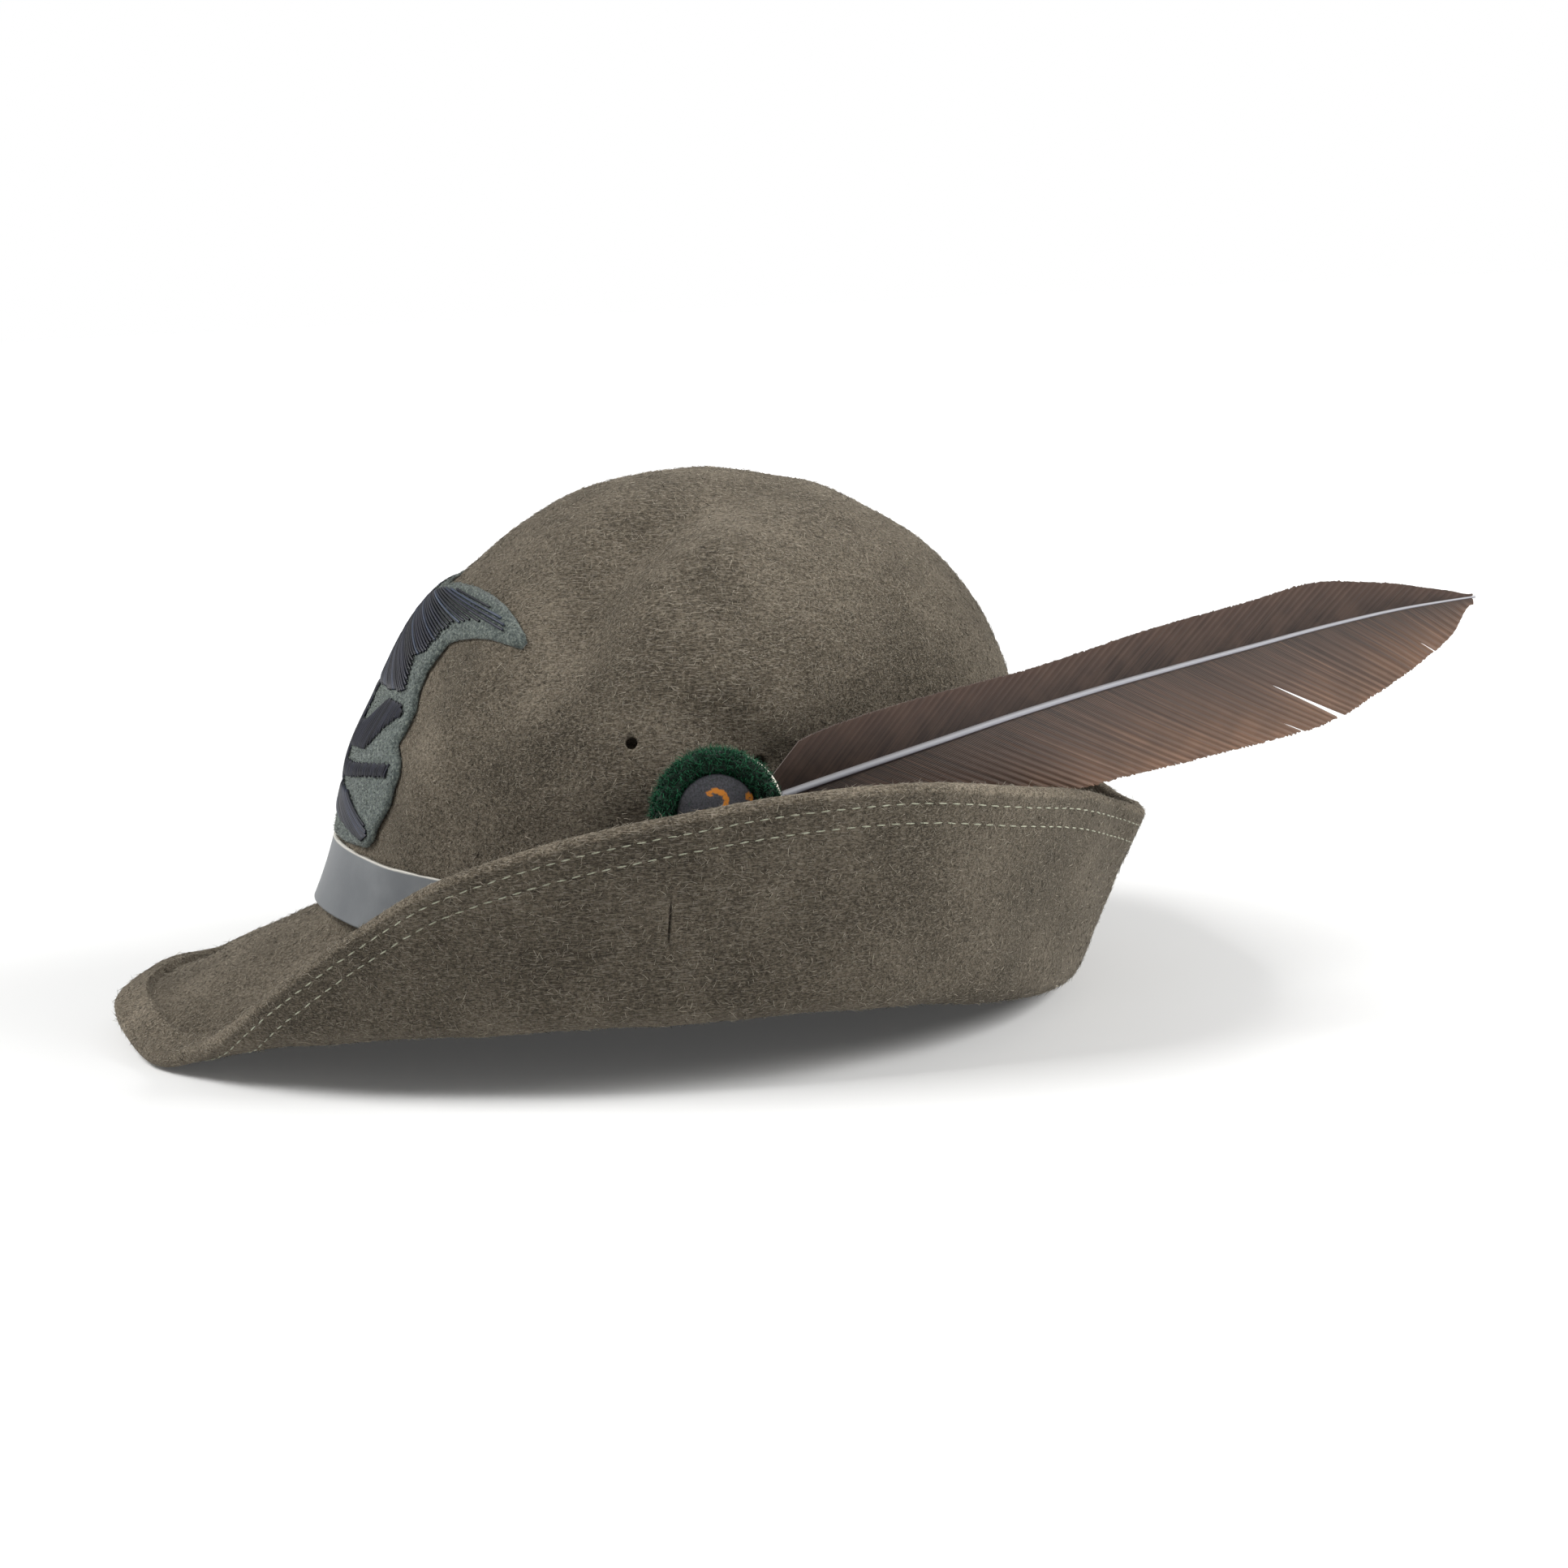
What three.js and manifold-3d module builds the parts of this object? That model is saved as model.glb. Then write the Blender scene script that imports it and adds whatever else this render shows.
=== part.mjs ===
// Mountain troops' felt hat: a one-piece felt crown and brim with the back and sides turned up and the
// peak turned down, a leather hat band, an embroidered cloth badge, a wool pompom and a long feather.
// Millimetres. The hat is drawn in its own frame (x to the wearer's left, -y to the front, z up, origin
// in the middle of the head opening), and one group then lays it on the ground as it rests by itself.

import * as THREE from 'three';
import { TessellateModifier } from 'three/addons/modifiers/TessellateModifier.js';
import { mergeVertices } from 'three/addons/utils/BufferGeometryUtils.js';
import Module from 'manifold-3d';

const wasm = await Module();
wasm.setup();

// Felt
const FELT = 2.5;                 // one layer of felt
const HEM_WIDTH = 13;             // the brim's edge is folded back on its upper side by this much
const COLUMNS = 60;               // faces around the hat
const HEAD = { halfWidth: 85.5, front: 105.5, back: 103.5 }; // head opening, on the middle of the felt
const DOME_CENTRE = new THREE.Vector3(0, 4, 45);
const WALL_FOOT = 3.5;            // how far from the break line the crown and the brim start to bend

// Outside of the crown above the dome's centre: radii by lift angle, towards front, side and back
const DOME = {
  columns: ['lift', 'front', 'side', 'back'],
  rows: [
    [0, 104.0, 84.5, 98.8],
    [15, 99.6, 84.6, 101.6],
    [30, 99.2, 87.0, 103.8],
    [45, 98.2, 91.0, 105.2],
    [60, 99.8, 96.0, 104.4],
    [75, 100.6, 100.6, 103.2],
    [90, 101.8, 101.8, 101.8],
  ],
};

// Height of the break line between crown and brim, by station (0 front, 90 side, 180 back)
const BREAK_LINE = {
  columns: ['station', 'height'],
  rows: [[0, 4], [45, 1], [90, 0], [135, 5], [180, 4]],
};

// Brim section at each station: corner of the fold and edge of the brim, out from the head opening and
// up from it, and the radius that rounds the fold. The peak at the front is nearly flat.
const BRIM = {
  columns: ['station', 'foldOut', 'foldUp', 'edgeOut', 'edgeUp', 'radius'],
  rows: [
    [0, 36, -17.5, 62.3, -32.5, 30],
    [10, 40, -22.5, 57.5, -36, 26],
    [20, 42, -29.5, 52.5, -37.5, 16],
    [30, 40.5, -29, 48, -23, 10],
    [40, 35.5, -25, 43.5, -2.5, 9],
    [50, 29, -21.5, 38.5, 17.5, 9],
    [60, 23.5, -17.5, 34, 34.5, 8.5],
    [75, 18, -11, 27.5, 49.5, 8],
    [90, 16, -4.2, 24.5, 59.5, 8],
    [105, 17.5, 2.6, 25, 67, 8],
    [120, 20.5, 5.5, 29, 71, 8],
    [135, 20.5, 4, 32, 69.5, 8],
    [150, 20, 1, 31, 66, 8],
    [165, 19, -3, 33, 59, 8],
    [180, 18.5, -5, 38, 53, 8],
  ],
};

// The wearer's right side differs a little: the peak's corner stands up and the side dips
const RIGHT_SIDE = {
  columns: ['station', 'edgeLift', 'foldLift'],
  rows: [
    [0, 0.5, 0], [10, 8, 1], [20, 12, -2], [30, 4, -5.5], [40, -15, -8], [50, -17, -6],
    [60, -11, -2], [75, -4, 0], [90, 0, 0], [120, 0, 0], [150, -3, -1], [170, -3, -1], [180, 0, 0],
  ],
};

// Creases of the crown, each a soft valley along its points; a negative depth is a ridge.
// Both sides of the crown have them.
const CREASES = [
  {
    name: 'pinch from the top down to the temple',
    columns: ['station', 'lift', 'depth', 'halfWidth'],
    rows: [
      [172, 78, 1.0, 14], [115, 74, 3.0, 14], [77, 64, 5.0, 15],
      [62, 51, 7.0, 16], [59, 41, 7.0, 17], [57, 30, 3.5, 17], [56, 20, 0.5, 17],
    ],
  },
  {
    name: 'hollow above the feather',
    columns: ['station', 'lift', 'depth', 'halfWidth'],
    rows: [[112, 26, 1.5, 14], [126, 30, 3.5, 15], [140, 32, 1.0, 15]],
  },
  {
    name: 'corner beside the badge',
    columns: ['station', 'lift', 'depth', 'halfWidth'],
    rows: [[39, 28, -1.0, 11], [36, 12, -1.6, 10], [33, -3, -1.2, 10]],
  },
];

// Vent holes punched through each side of the crown
const VENTS = {
  diameter: 3.6,
  columns: ['station', 'lift'],
  rows: [[75.5, 19.3], [102.7, 18.5]],
};

// Leather hat band, standing a little off the felt at its lower edge
const BAND = { bottom: 8, height: 19.5, thickness: 1.4, gap: 0.4, flare: 1.6, rows: 2 };

// Cloth badge on the front of the crown and the embroidery on it. Each outline is drawn on the crown in
// stations and lifts, from the middle at the top down the wearer's left to the middle at the bottom. A
// lift below zero is millimetres down the straight wall under the dome.
const BADGE = { gap: 0.5, cloth: 1.5, thread: 0.9, facet: 9.5 };
const BADGE_OUTLINE = {
  columns: ['station', 'lift'],
  rows: [
    [0, 37], [11.6, 39.5], [22.9, 40.5], [31, 40.2], [36.8, 39.2], [41.7, 37.5], [45.4, 35.5], [46.8, 34.1],
    [46.4, 32.6], [38.2, 32.3], [33.7, 31.6], [29.3, 30.4], [26.9, 29.2], [25.6, 26.2], [24.5, 23.4],
    [24.6, 19.7], [25.8, 16.5], [25.2, 12.4], [24.4, 9.8], [27.5, 7.1], [28.2, 5.2], [26.6, -3],
    [25.3, -8.5], [25.2, -12.5], [23.8, -14.8], [15.5, -16], [0, -17],
  ],
};
const EMBROIDERY_OUTLINE = {
  columns: ['station', 'lift'],
  rows: [
    // spread wing and breast
    [0, 34], [7, 36.8], [17.6, 38.4], [25.8, 38.3], [32.5, 37.9], [37.9, 37], [42, 34.9], [41.9, 33.7],
    [35.2, 34.6], [31, 34.2], [26.5, 32.7], [24.4, 30.6], [22.9, 26.6], [18.8, 24.5], [20.8, 21.1],
    [21.8, 18.5], [14.4, 17.6],
    // tail wedge
    [3.2, 17.2], [3.2, 10.2], [9, 11.3], [16.1, 16.5], [21.8, 16.6], [24.1, 15.2], [19.2, 11.9],
    [17.1, 9.6], [14.6, 6.9],
    // cross bar
    [3.2, 5.6], [3.2, 3.4], [11.6, 4.2], [25.4, 6.6], [25.6, 4.1], [9.6, 1.3],
    // lower chevron
    [3.2, 0.6], [3.2, -1.2], [11.9, -1.6], [18, -5.5], [23.3, -9.2], [24.2, -11.2], [23, -13],
    [13.8, -10.8], [0, -8.6],
  ],
};

// Pompom on the wearer's left, and what it covers
const POMPOM = {
  station: 93.5,
  lift: 7.6,
  radius: 19.2,
  depth: 10,
  standOff: 6.1,
  locks: 12,
  lockDepth: 0.9,
  discRadius: 11.2,
  discThickness: 1.2,
  recess: 2.4,
  plateRadius: 17.2,
  plateThickness: 0.8,
  plateShift: { back: 2.6, up: 1.8 },
};
const SLEEVE = { start: 1, outer: 2.3, bore: 1.75, length: 22, sides: 8 };

// Feather: points of its quill, and how far each vane reaches from it, by distance along the quill
const QUILL = {
  columns: ['x', 'y', 'z', 'radius'],
  rows: [
    [87.7, 0, 50.9, 1.4], [86.4, 13, 56.3, 1.45], [83.1, 31, 63.8, 1.4], [78.7, 49, 70.8, 1.35],
    [72.8, 69, 78.3, 1.3], [65.4, 92, 86.8, 1.2], [57.6, 116, 95.0, 1.1], [50.5, 139, 102.2, 1.0],
    [43.8, 162, 109.2, 0.9], [37.2, 185, 116.2, 0.75], [31.2, 208, 122.4, 0.6], [25.2, 231, 127.1, 0.4],
  ],
};
const VANE = {
  thickness: 0.8,
  gap: 0.3,
  cup: 0.0035,
  columns: ['distance', 'up', 'down'],
  rows: [
    [31, 3, 2.2], [37, 11.5, 5], [48, 14.2, 11], [66, 14.2, 19], [86, 13.2, 25], [108, 11.8, 27.2],
    [126, 12, 28], [150, 13, 29], [180, 13.2, 29.8], [197, 13.8, 29.8], [206, 13, 28], [216, 10.5, 24.5],
    [226, 8, 20.5], [236, 5, 15.5], [244, 2.8, 10], [250.5, 1.0, 2.2],
  ],
};
// Split between the barbs of the broad vane: its inner end, the middle of its mouth at the vane's edge,
// and how wide the mouth is
const SPLIT = { innerDistance: 187, innerReach: 16.4, outerDistance: 204.5, outerReach: 31, mouth: 5 };

// Rest pose: the hat leans on the corner of its peak, the right side and the back fold
const REST = { pitch: 7.05, roll: 2.69, press: 1.0 };

const radians = THREE.MathUtils.degToRad;

// Value of a table between its rows, joined smoothly; the first column is where a row applies
function along(table, at) {
  const rows = table.rows;
  const last = rows.length - 1;
  const slope = (i, c) => (i === 0 || i === last ? 0
    : (rows[i + 1][c] - rows[i - 1][c]) / (rows[i + 1][0] - rows[i - 1][0]));
  let i = 0;
  while (i < last - 1 && at >= rows[i + 1][0]) i += 1;
  const step = rows[i + 1][0] - rows[i][0];
  const u = (at - rows[i][0]) / step;
  const result = {};
  for (let c = 1; c < table.columns.length; c += 1) {
    result[table.columns[c]] = (2 * u ** 3 - 3 * u ** 2 + 1) * rows[i][c]
      + (u ** 3 - 2 * u ** 2 + u) * step * slope(i, c)
      + (3 * u ** 2 - 2 * u ** 3) * rows[i + 1][c]
      + (u ** 3 - u ** 2) * step * slope(i + 1, c);
  }
  return result;
}

// Stations run from 0 to 360 around the hat; the tables run from 0 to 180
function onOneSide(station) {
  const turn = ((station % 360) + 360) % 360;
  return { side: turn > 180 ? 360 - turn : turn, right: turn > 180 };
}

// Direction from the dome's centre
function direction(station, lift) {
  const s = radians(station);
  const l = radians(lift);
  return new THREE.Vector3(Math.cos(l) * Math.sin(s), -Math.cos(l) * Math.cos(s), Math.sin(l));
}

// How far the creases press the felt in at a place on the crown
function creaseDepth(station, lift) {
  const meanRadius = 98;
  const here = direction(onOneSide(station).side, lift);
  let total = 0;
  for (const crease of CREASES) {
    let strongest = 0;
    for (let i = 0; i + 1 < crease.rows.length; i += 1) {
      const [s0, l0, d0, w0] = crease.rows[i];
      const [s1, l1, d1, w1] = crease.rows[i + 1];
      const start = direction(s0, l0);
      const run = direction(s1, l1).sub(start);
      const offset = here.clone().sub(start);
      const u = THREE.MathUtils.clamp(offset.dot(run) / run.lengthSq(), 0, 1);
      const distance = offset.addScaledVector(run, -u).length() * meanRadius;
      const width = THREE.MathUtils.lerp(w0, w1, u);
      const press = THREE.MathUtils.lerp(d0, d1, u) * Math.exp(-((distance / width) ** 2));
      if (Math.abs(press) > Math.abs(strongest)) strongest = press;
    }
    total += strongest;
  }
  return total;
}

// Head opening and the way out of it at a station
function headOpening(station) {
  const s = radians(station);
  const reach = Math.cos(s) > 0 ? HEAD.front : HEAD.back;
  const height = along(BREAK_LINE, onOneSide(station).side).height;
  const point = new THREE.Vector3(HEAD.halfWidth * Math.sin(s), -reach * Math.cos(s), height);
  const out = new THREE.Vector3(Math.sin(s) / HEAD.halfWidth, -Math.cos(s) / reach, 0).normalize();
  return { point, out };
}

// Outside of the crown. Above the dome's centre "lift" is an angle in degrees, below it the distance
// down the straight wall in millimetres, as a negative number.
function crownPoint(station, lift, proud = 0) {
  const onDome = Math.max(lift, 0);
  const radii = along(DOME, onDome);
  const s = radians(station);
  const towards = Math.cos(s) > 0 ? radii.front : radii.back;
  const radius = 1 / Math.hypot(Math.cos(s) / towards, Math.sin(s) / radii.side);
  const ring = direction(station, onDome)
    .multiplyScalar(radius - creaseDepth(station, onDome) + proud).add(DOME_CENTRE);
  if (lift >= 0) return ring;
  const foot = headOpening(station);
  const outside = foot.point.addScaledVector(foot.out, FELT / 2 + proud);
  return ring.lerp(outside, -lift / (DOME_CENTRE.z - outside.z));
}

// Section of the brim at a station: shelf, rounded fold and turned-up part, on the middle of the felt
function brimSection(station) {
  const { side, right } = onOneSide(station);
  const row = along(BRIM, side);
  if (right) {
    const lift = along(RIGHT_SIDE, side);
    row.edgeUp += lift.edgeLift;
    row.foldUp += lift.foldLift;
  }
  const opening = headOpening(station);
  const start = new THREE.Vector2(0, opening.point.z);
  const fold = new THREE.Vector2(row.foldOut, row.foldUp);
  const edge = new THREE.Vector2(row.edgeOut, row.edgeUp);
  const back = start.clone().sub(fold);
  const ahead = edge.clone().sub(fold);
  const half = back.angleTo(ahead) / 2;
  const tangent = Math.min(row.radius / Math.tan(half), 0.9 * back.length(), 0.8 * ahead.length());
  const radius = tangent * Math.tan(half);
  const shelfLength = back.length() - tangent;
  const turn = Math.PI - 2 * half;
  const foldLength = radius * turn;
  const riseLength = ahead.length() - tangent;
  back.normalize();
  ahead.normalize();
  const arcStart = fold.clone().addScaledVector(back, tangent);
  const arcEnd = fold.clone().addScaledVector(ahead, tangent);
  const centre = fold.clone().addScaledVector(back.clone().add(ahead).normalize(), radius / Math.sin(half));
  const at = (distance) => {
    let flat;
    if (distance <= shelfLength) {
      flat = start.clone().addScaledVector(back, -distance);
    } else if (distance < shelfLength + foldLength) {
      const angle = (distance - shelfLength) / radius;
      flat = arcStart.clone().rotateAround(centre, angle);
    } else {
      flat = arcEnd.clone().addScaledVector(ahead, distance - shelfLength - foldLength);
    }
    return opening.point.clone().setZ(flat.y).addScaledVector(opening.out, flat.x);
  };
  return { shelfLength, foldLength, length: shelfLength + foldLength + riseLength, at };
}

// Middle of the felt along one station, from the top of the crown to the edge of the brim
function feltLine(station, lifts) {
  const line = lifts.map((lift) => crownPoint(station, lift, -FELT / 2));
  const section = brimSection(station);
  const foot = headOpening(station).point;
  const rim = line[line.length - 1];
  const up = rim.clone().sub(foot).normalize();
  line.push(rim.clone().lerp(foot, 0.45));
  line.push(foot.clone().addScaledVector(up, WALL_FOOT));
  line.push(foot.clone().addScaledVector(up, WALL_FOOT / 4).lerp(section.at(WALL_FOOT / 4), 0.5));
  const edge = section.length - FELT;
  const hemStart = section.length - HEM_WIDTH;
  const foldEnd = section.shelfLength + section.foldLength;
  const distances = [0.6 * section.shelfLength];
  for (let i = 0; i <= 4; i += 1) distances.push(section.shelfLength + (section.foldLength * i) / 4);
  for (let i = 1; i <= 2; i += 1) distances.push(foldEnd + (Math.max(hemStart - foldEnd, 0) * i) / 3);
  // Where the peak's fold runs out into its edge, the rows close up in front of the hem
  const before = hemStart - HEM_WIDTH / 8;
  const squeeze = Math.min(1, before / distances[distances.length - 1]);
  line.push(section.at(WALL_FOOT));
  distances.forEach((d, i) => line.push(section.at(d * squeeze - (i < 5 ? 0 : (7 - i) * (1 - squeeze)))));
  line.push(section.at(hemStart));
  line.push(section.at((hemStart + edge) / 2));
  line.push(section.at(edge));
  return line;
}

// Grid of points and of outward normals over all stations
function feltGrid(lifts) {
  const columns = [];
  for (let c = 0; c < COLUMNS; c += 1) columns.push(feltLine((360 * c) / COLUMNS, lifts));
  const normals = columns.map((line, c) => line.map((point, r) => {
    const before = columns[(c + COLUMNS - 1) % COLUMNS][r];
    const after = columns[(c + 1) % COLUMNS][r];
    const above = line[Math.max(r - 1, 0)];
    const below = line[Math.min(r + 1, line.length - 1)];
    return after.clone().sub(before).cross(above.clone().sub(below)).normalize();
  }));
  return { columns, normals };
}

// Closed solid from a loop of rings that starts at one pole and ends at another
function spunSolid(firstPole, rings, lastPole) {
  const positions = [...firstPole.toArray()];
  rings.forEach((ring) => ring.forEach((p) => positions.push(p.x, p.y, p.z)));
  positions.push(...lastPole.toArray());
  const count = rings[0].length;
  const vertex = (r, c) => 1 + r * count + (c % count);
  const end = 1 + rings.length * count;
  const index = [];
  for (let c = 0; c < count; c += 1) {
    index.push(0, vertex(0, c), vertex(0, c + 1));
    for (let r = 0; r + 1 < rings.length; r += 1) {
      index.push(vertex(r, c), vertex(r + 1, c), vertex(r + 1, c + 1));
      index.push(vertex(r, c), vertex(r + 1, c + 1), vertex(r, c + 1));
    }
    index.push(end, vertex(rings.length - 1, c + 1), vertex(rings.length - 1, c));
  }
  return indexed(positions, index);
}

function indexed(positions, index) {
  const geometry = new THREE.BufferGeometry();
  geometry.setAttribute('position', new THREE.Float32BufferAttribute(positions, 3));
  geometry.setIndex(index);
  return geometry;
}

// Closed solid between an upper and a lower grid of the same size, [row][column]
function slabSolid(upper, lower) {
  const rows = upper.length;
  const columns = upper[0].length;
  const positions = [];
  [upper, lower].forEach((grid) => grid.forEach((row) => row.forEach((p) => positions.push(p.x, p.y, p.z))));
  const top = (r, c) => r * columns + c;
  const bottom = (r, c) => rows * columns + r * columns + c;
  const index = [];
  const quad = (a, b, c, d) => index.push(a, b, c, a, c, d);
  for (let r = 0; r + 1 < rows; r += 1) {
    for (let c = 0; c + 1 < columns; c += 1) {
      quad(top(r, c), top(r + 1, c), top(r + 1, c + 1), top(r, c + 1));
      quad(bottom(r, c), bottom(r, c + 1), bottom(r + 1, c + 1), bottom(r + 1, c));
    }
    quad(top(r + 1, 0), top(r, 0), bottom(r, 0), bottom(r + 1, 0));
    quad(top(r, columns - 1), top(r + 1, columns - 1), bottom(r + 1, columns - 1), bottom(r, columns - 1));
  }
  for (let c = 0; c + 1 < columns; c += 1) {
    quad(top(0, c), top(0, c + 1), bottom(0, c + 1), bottom(0, c));
    quad(top(rows - 1, c + 1), top(rows - 1, c), bottom(rows - 1, c), bottom(rows - 1, c + 1));
  }
  return indexed(positions, index);
}

// Solids for joining and cutting, and back
function toManifold(geometry) {
  const clean = geometry.clone();
  clean.deleteAttribute('normal');
  clean.deleteAttribute('uv');
  const merged = mergeVertices(clean, 1e-4);
  return new wasm.Manifold(new wasm.Mesh({
    numProp: 3,
    vertProperties: new Float32Array(merged.attributes.position.array),
    triVerts: new Uint32Array(merged.index.array),
  }));
}

function fromManifold(solid) {
  const mesh = solid.getMesh();
  return indexed(Array.from(mesh.vertProperties), Array.from(mesh.triVerts));
}

// Cylinder of a given radius between two points
function rod(from, to, radius, sides) {
  const axis = to.clone().sub(from);
  const geometry = new THREE.CylinderGeometry(radius, radius, axis.length(), sides);
  const turn = new THREE.Quaternion().setFromUnitVectors(new THREE.Vector3(0, 1, 0), axis.normalize());
  return geometry.applyQuaternion(turn).translate(...from.clone().lerp(to, 0.5).toArray());
}

// Way out of the crown at a place
function crownNormal(station, lift) {
  const step = 1;
  const around = crownPoint(station + step, lift).sub(crownPoint(station - step, lift));
  const upward = crownPoint(station, lift + step).sub(crownPoint(station, lift - step));
  return around.cross(upward).normalize();
}

const restUp = new THREE.Vector3(Math.tan(radians(REST.roll)), -Math.tan(radians(REST.pitch)), 1).normalize();

// Felt crown and brim in one piece, flattened a little where it rests
function feltBody() {
  const outsideLifts = [84, 77, 70, 63, 56, 49, 42, 35, 28, 21, 14, 7, 0];
  const insideLifts = [80, 66, 52, 38, 24, 10, 0];
  const outside = feltGrid(outsideLifts);
  const inside = feltGrid(insideLifts);
  const ring = (grid, r, offset) => grid.columns.map((line, c) => (
    line[r].clone().addScaledVector(grid.normals[c][r], offset)));
  const rings = [];
  const last = outside.columns[0].length - 1;
  const hemRow = last - 2;
  for (let r = 0; r <= hemRow; r += 1) rings.push(ring(outside, r, FELT / 2));
  for (let r = hemRow; r <= last; r += 1) rings.push(ring(outside, r, FELT * 1.5));
  const edgeTurn = outside.columns.map((line, c) => {
    const outward = line[last].clone().sub(line[last - 1]).normalize();
    const middle = line[last].clone().addScaledVector(outside.normals[c][last], FELT / 2);
    return [45, 90, 135].map((angle) => middle.clone()
      .addScaledVector(outside.normals[c][last], FELT * Math.cos(radians(angle)))
      .addScaledVector(outward, FELT * Math.sin(radians(angle))));
  });
  for (let i = 0; i < 3; i += 1) rings.push(edgeTurn.map((turn) => turn[i]));
  for (let r = inside.columns[0].length - 1; r >= 0; r -= 1) rings.push(ring(inside, r, -FELT / 2));
  const geometry = spunSolid(crownPoint(0, 90), rings, crownPoint(0, 90, -FELT));
  let body = toManifold(geometry);
  for (const mirror of [1, -1]) {
    for (const [station, lift] of VENTS.rows) {
      const centre = crownPoint(station * mirror, lift);
      const out = crownNormal(station * mirror, lift);
      const from = centre.clone().addScaledVector(out, -4 * FELT);
      const to = centre.clone().addScaledVector(out, 2 * FELT);
      body = body.subtract(toManifold(rod(from, to, VENTS.diameter / 2, 12)));
    }
  }
  return flattenBelow(fromManifold(body));
}

// Everything below the ground is pressed up to it
function flattenBelow(geometry) {
  const position = geometry.attributes.position;
  const point = new THREE.Vector3();
  let lowest = Infinity;
  for (let i = 0; i < position.count; i += 1) {
    lowest = Math.min(lowest, point.fromBufferAttribute(position, i).dot(restUp));
  }
  const ground = lowest + REST.press;
  for (let i = 0; i < position.count; i += 1) {
    const height = point.fromBufferAttribute(position, i).dot(restUp) - ground;
    if (height < 0) {
      point.addScaledVector(restUp, -height);
      position.setXYZ(i, point.x, point.y, point.z);
    }
  }
  return geometry;
}

// Leather strap around the foot of the crown
function hatBand() {
  const lifts = [];
  for (let i = 0; i <= BAND.rows; i += 1) {
    lifts.push(BAND.bottom + BAND.height * (1 - i / BAND.rows) - DOME_CENTRE.z);
  }
  const ring = (lift, proud) => {
    const points = [];
    for (let c = 0; c < COLUMNS; c += 1) points.push(crownPoint((360 * c) / COLUMNS, lift, proud));
    return points;
  };
  const flare = (i) => BAND.flare * (i / BAND.rows) ** 2;
  const outer = lifts.map((lift, i) => ring(lift, BAND.gap + BAND.thickness + flare(i)));
  const inner = lifts.map((lift, i) => ring(lift, BAND.gap + flare(i))).reverse();
  return tubeSolid([...outer, ...inner]);
}

// Closed ring solid whose section is the loop of rings
function tubeSolid(rings) {
  const count = rings[0].length;
  const positions = rings.flatMap((ring) => ring.flatMap((p) => p.toArray()));
  const vertex = (r, c) => (r % rings.length) * count + (c % count);
  const index = [];
  for (let r = 0; r < rings.length; r += 1) {
    for (let c = 0; c < count; c += 1) {
      index.push(vertex(r, c), vertex(r + 1, c), vertex(r + 1, c + 1));
      index.push(vertex(r, c), vertex(r + 1, c + 1), vertex(r, c + 1));
    }
  }
  return indexed(positions, index);
}

// Cloth laid on the crown between two heights above the felt
function crownCloth(outline, from, to) {
  const left = outline.rows.map(([station, lift]) => new THREE.Vector2(station, lift));
  const right = left.filter(({ x }) => x > 0).reverse().map(({ x, y }) => new THREE.Vector2(-x, y));
  const flat = new THREE.ShapeGeometry(new THREE.Shape([...left, ...right]));
  const fine = new TessellateModifier(BADGE.facet, 16).modify(flat);
  fine.deleteAttribute('normal');
  fine.deleteAttribute('uv');
  const cloth = mergeVertices(fine, 0.001);
  const places = cloth.getAttribute('position');
  const positions = [];
  for (const proud of [to, from]) {
    for (let i = 0; i < places.count; i += 1) {
      positions.push(...crownPoint(places.getX(i), places.getY(i), proud).toArray());
    }
  }
  const faces = [...cloth.index.array];
  const index = [...faces];
  const edges = new Set();
  for (let i = 0; i < faces.length; i += 3) {
    const corners = faces.slice(i, i + 3);
    corners.forEach((corner, k) => edges.add(`${corner} ${corners[(k + 1) % 3]}`));
    index.push(...corners.reverse().map((corner) => corner + places.count));
  }
  for (const edge of edges) {
    const [a, b] = edge.split(' ').map(Number);
    if (!edges.has(`${b} ${a}`)) {
      index.push(b, a, a + places.count, b, a + places.count, b + places.count);
    }
  }
  return indexed(positions, index);
}

function badgeBacking() {
  return crownCloth(BADGE_OUTLINE, BADGE.gap, BADGE.gap + BADGE.cloth);
}

function badgeEmbroidery() {
  const from = 2 * BADGE.gap + BADGE.cloth;
  return crownCloth(EMBROIDERY_OUTLINE, from, from + BADGE.thread);
}

// Frame of the pompom on the crown: z out of the felt, x to the back, y up
function pompomFrame() {
  const out = crownNormal(POMPOM.station, POMPOM.lift);
  const up = new THREE.Vector3(0, 0, 1);
  const back = up.clone().cross(out).normalize();
  const top = out.clone().cross(back);
  const frame = new THREE.Matrix4().makeBasis(back, top, out);
  return frame.setPosition(crownPoint(POMPOM.station, POMPOM.lift));
}

// Wool tuft in locks: a ring of pile around the sunken middle, fused to its back
function pompomWool() {
  const { radius, depth, standOff, locks, lockDepth, discRadius, recess } = POMPOM;
  const floor = standOff + POMPOM.plateThickness + 0.3;
  const top = floor + depth;
  const dish = discRadius + 0.6;
  const profile = [
    [dish, top - recess], [dish + 1.6, top - 0.4], [radius - 4.5, top], [radius - 1.6, top - 2.2],
    [radius, top - 5], [radius - 0.4, floor + 1.5], [radius - 2, floor],
  ];
  const sides = locks * 4;
  const rings = profile.map(([r, z], row) => {
    const points = [];
    for (let c = 0; c < sides; c += 1) {
      const angle = (2 * Math.PI * c) / sides;
      const wave = row === 0 ? 0 : lockDepth * Math.cos(locks * angle + row * 0.9);
      const reach = r + wave;
      points.push(new THREE.Vector3(reach * Math.cos(angle), reach * Math.sin(angle), z + 0.4 * wave));
    }
    return points;
  });
  const lid = new THREE.Vector3(0, 0, top - recess);
  return spunSolid(lid, rings, new THREE.Vector3(0, 0, floor));
}

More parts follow.
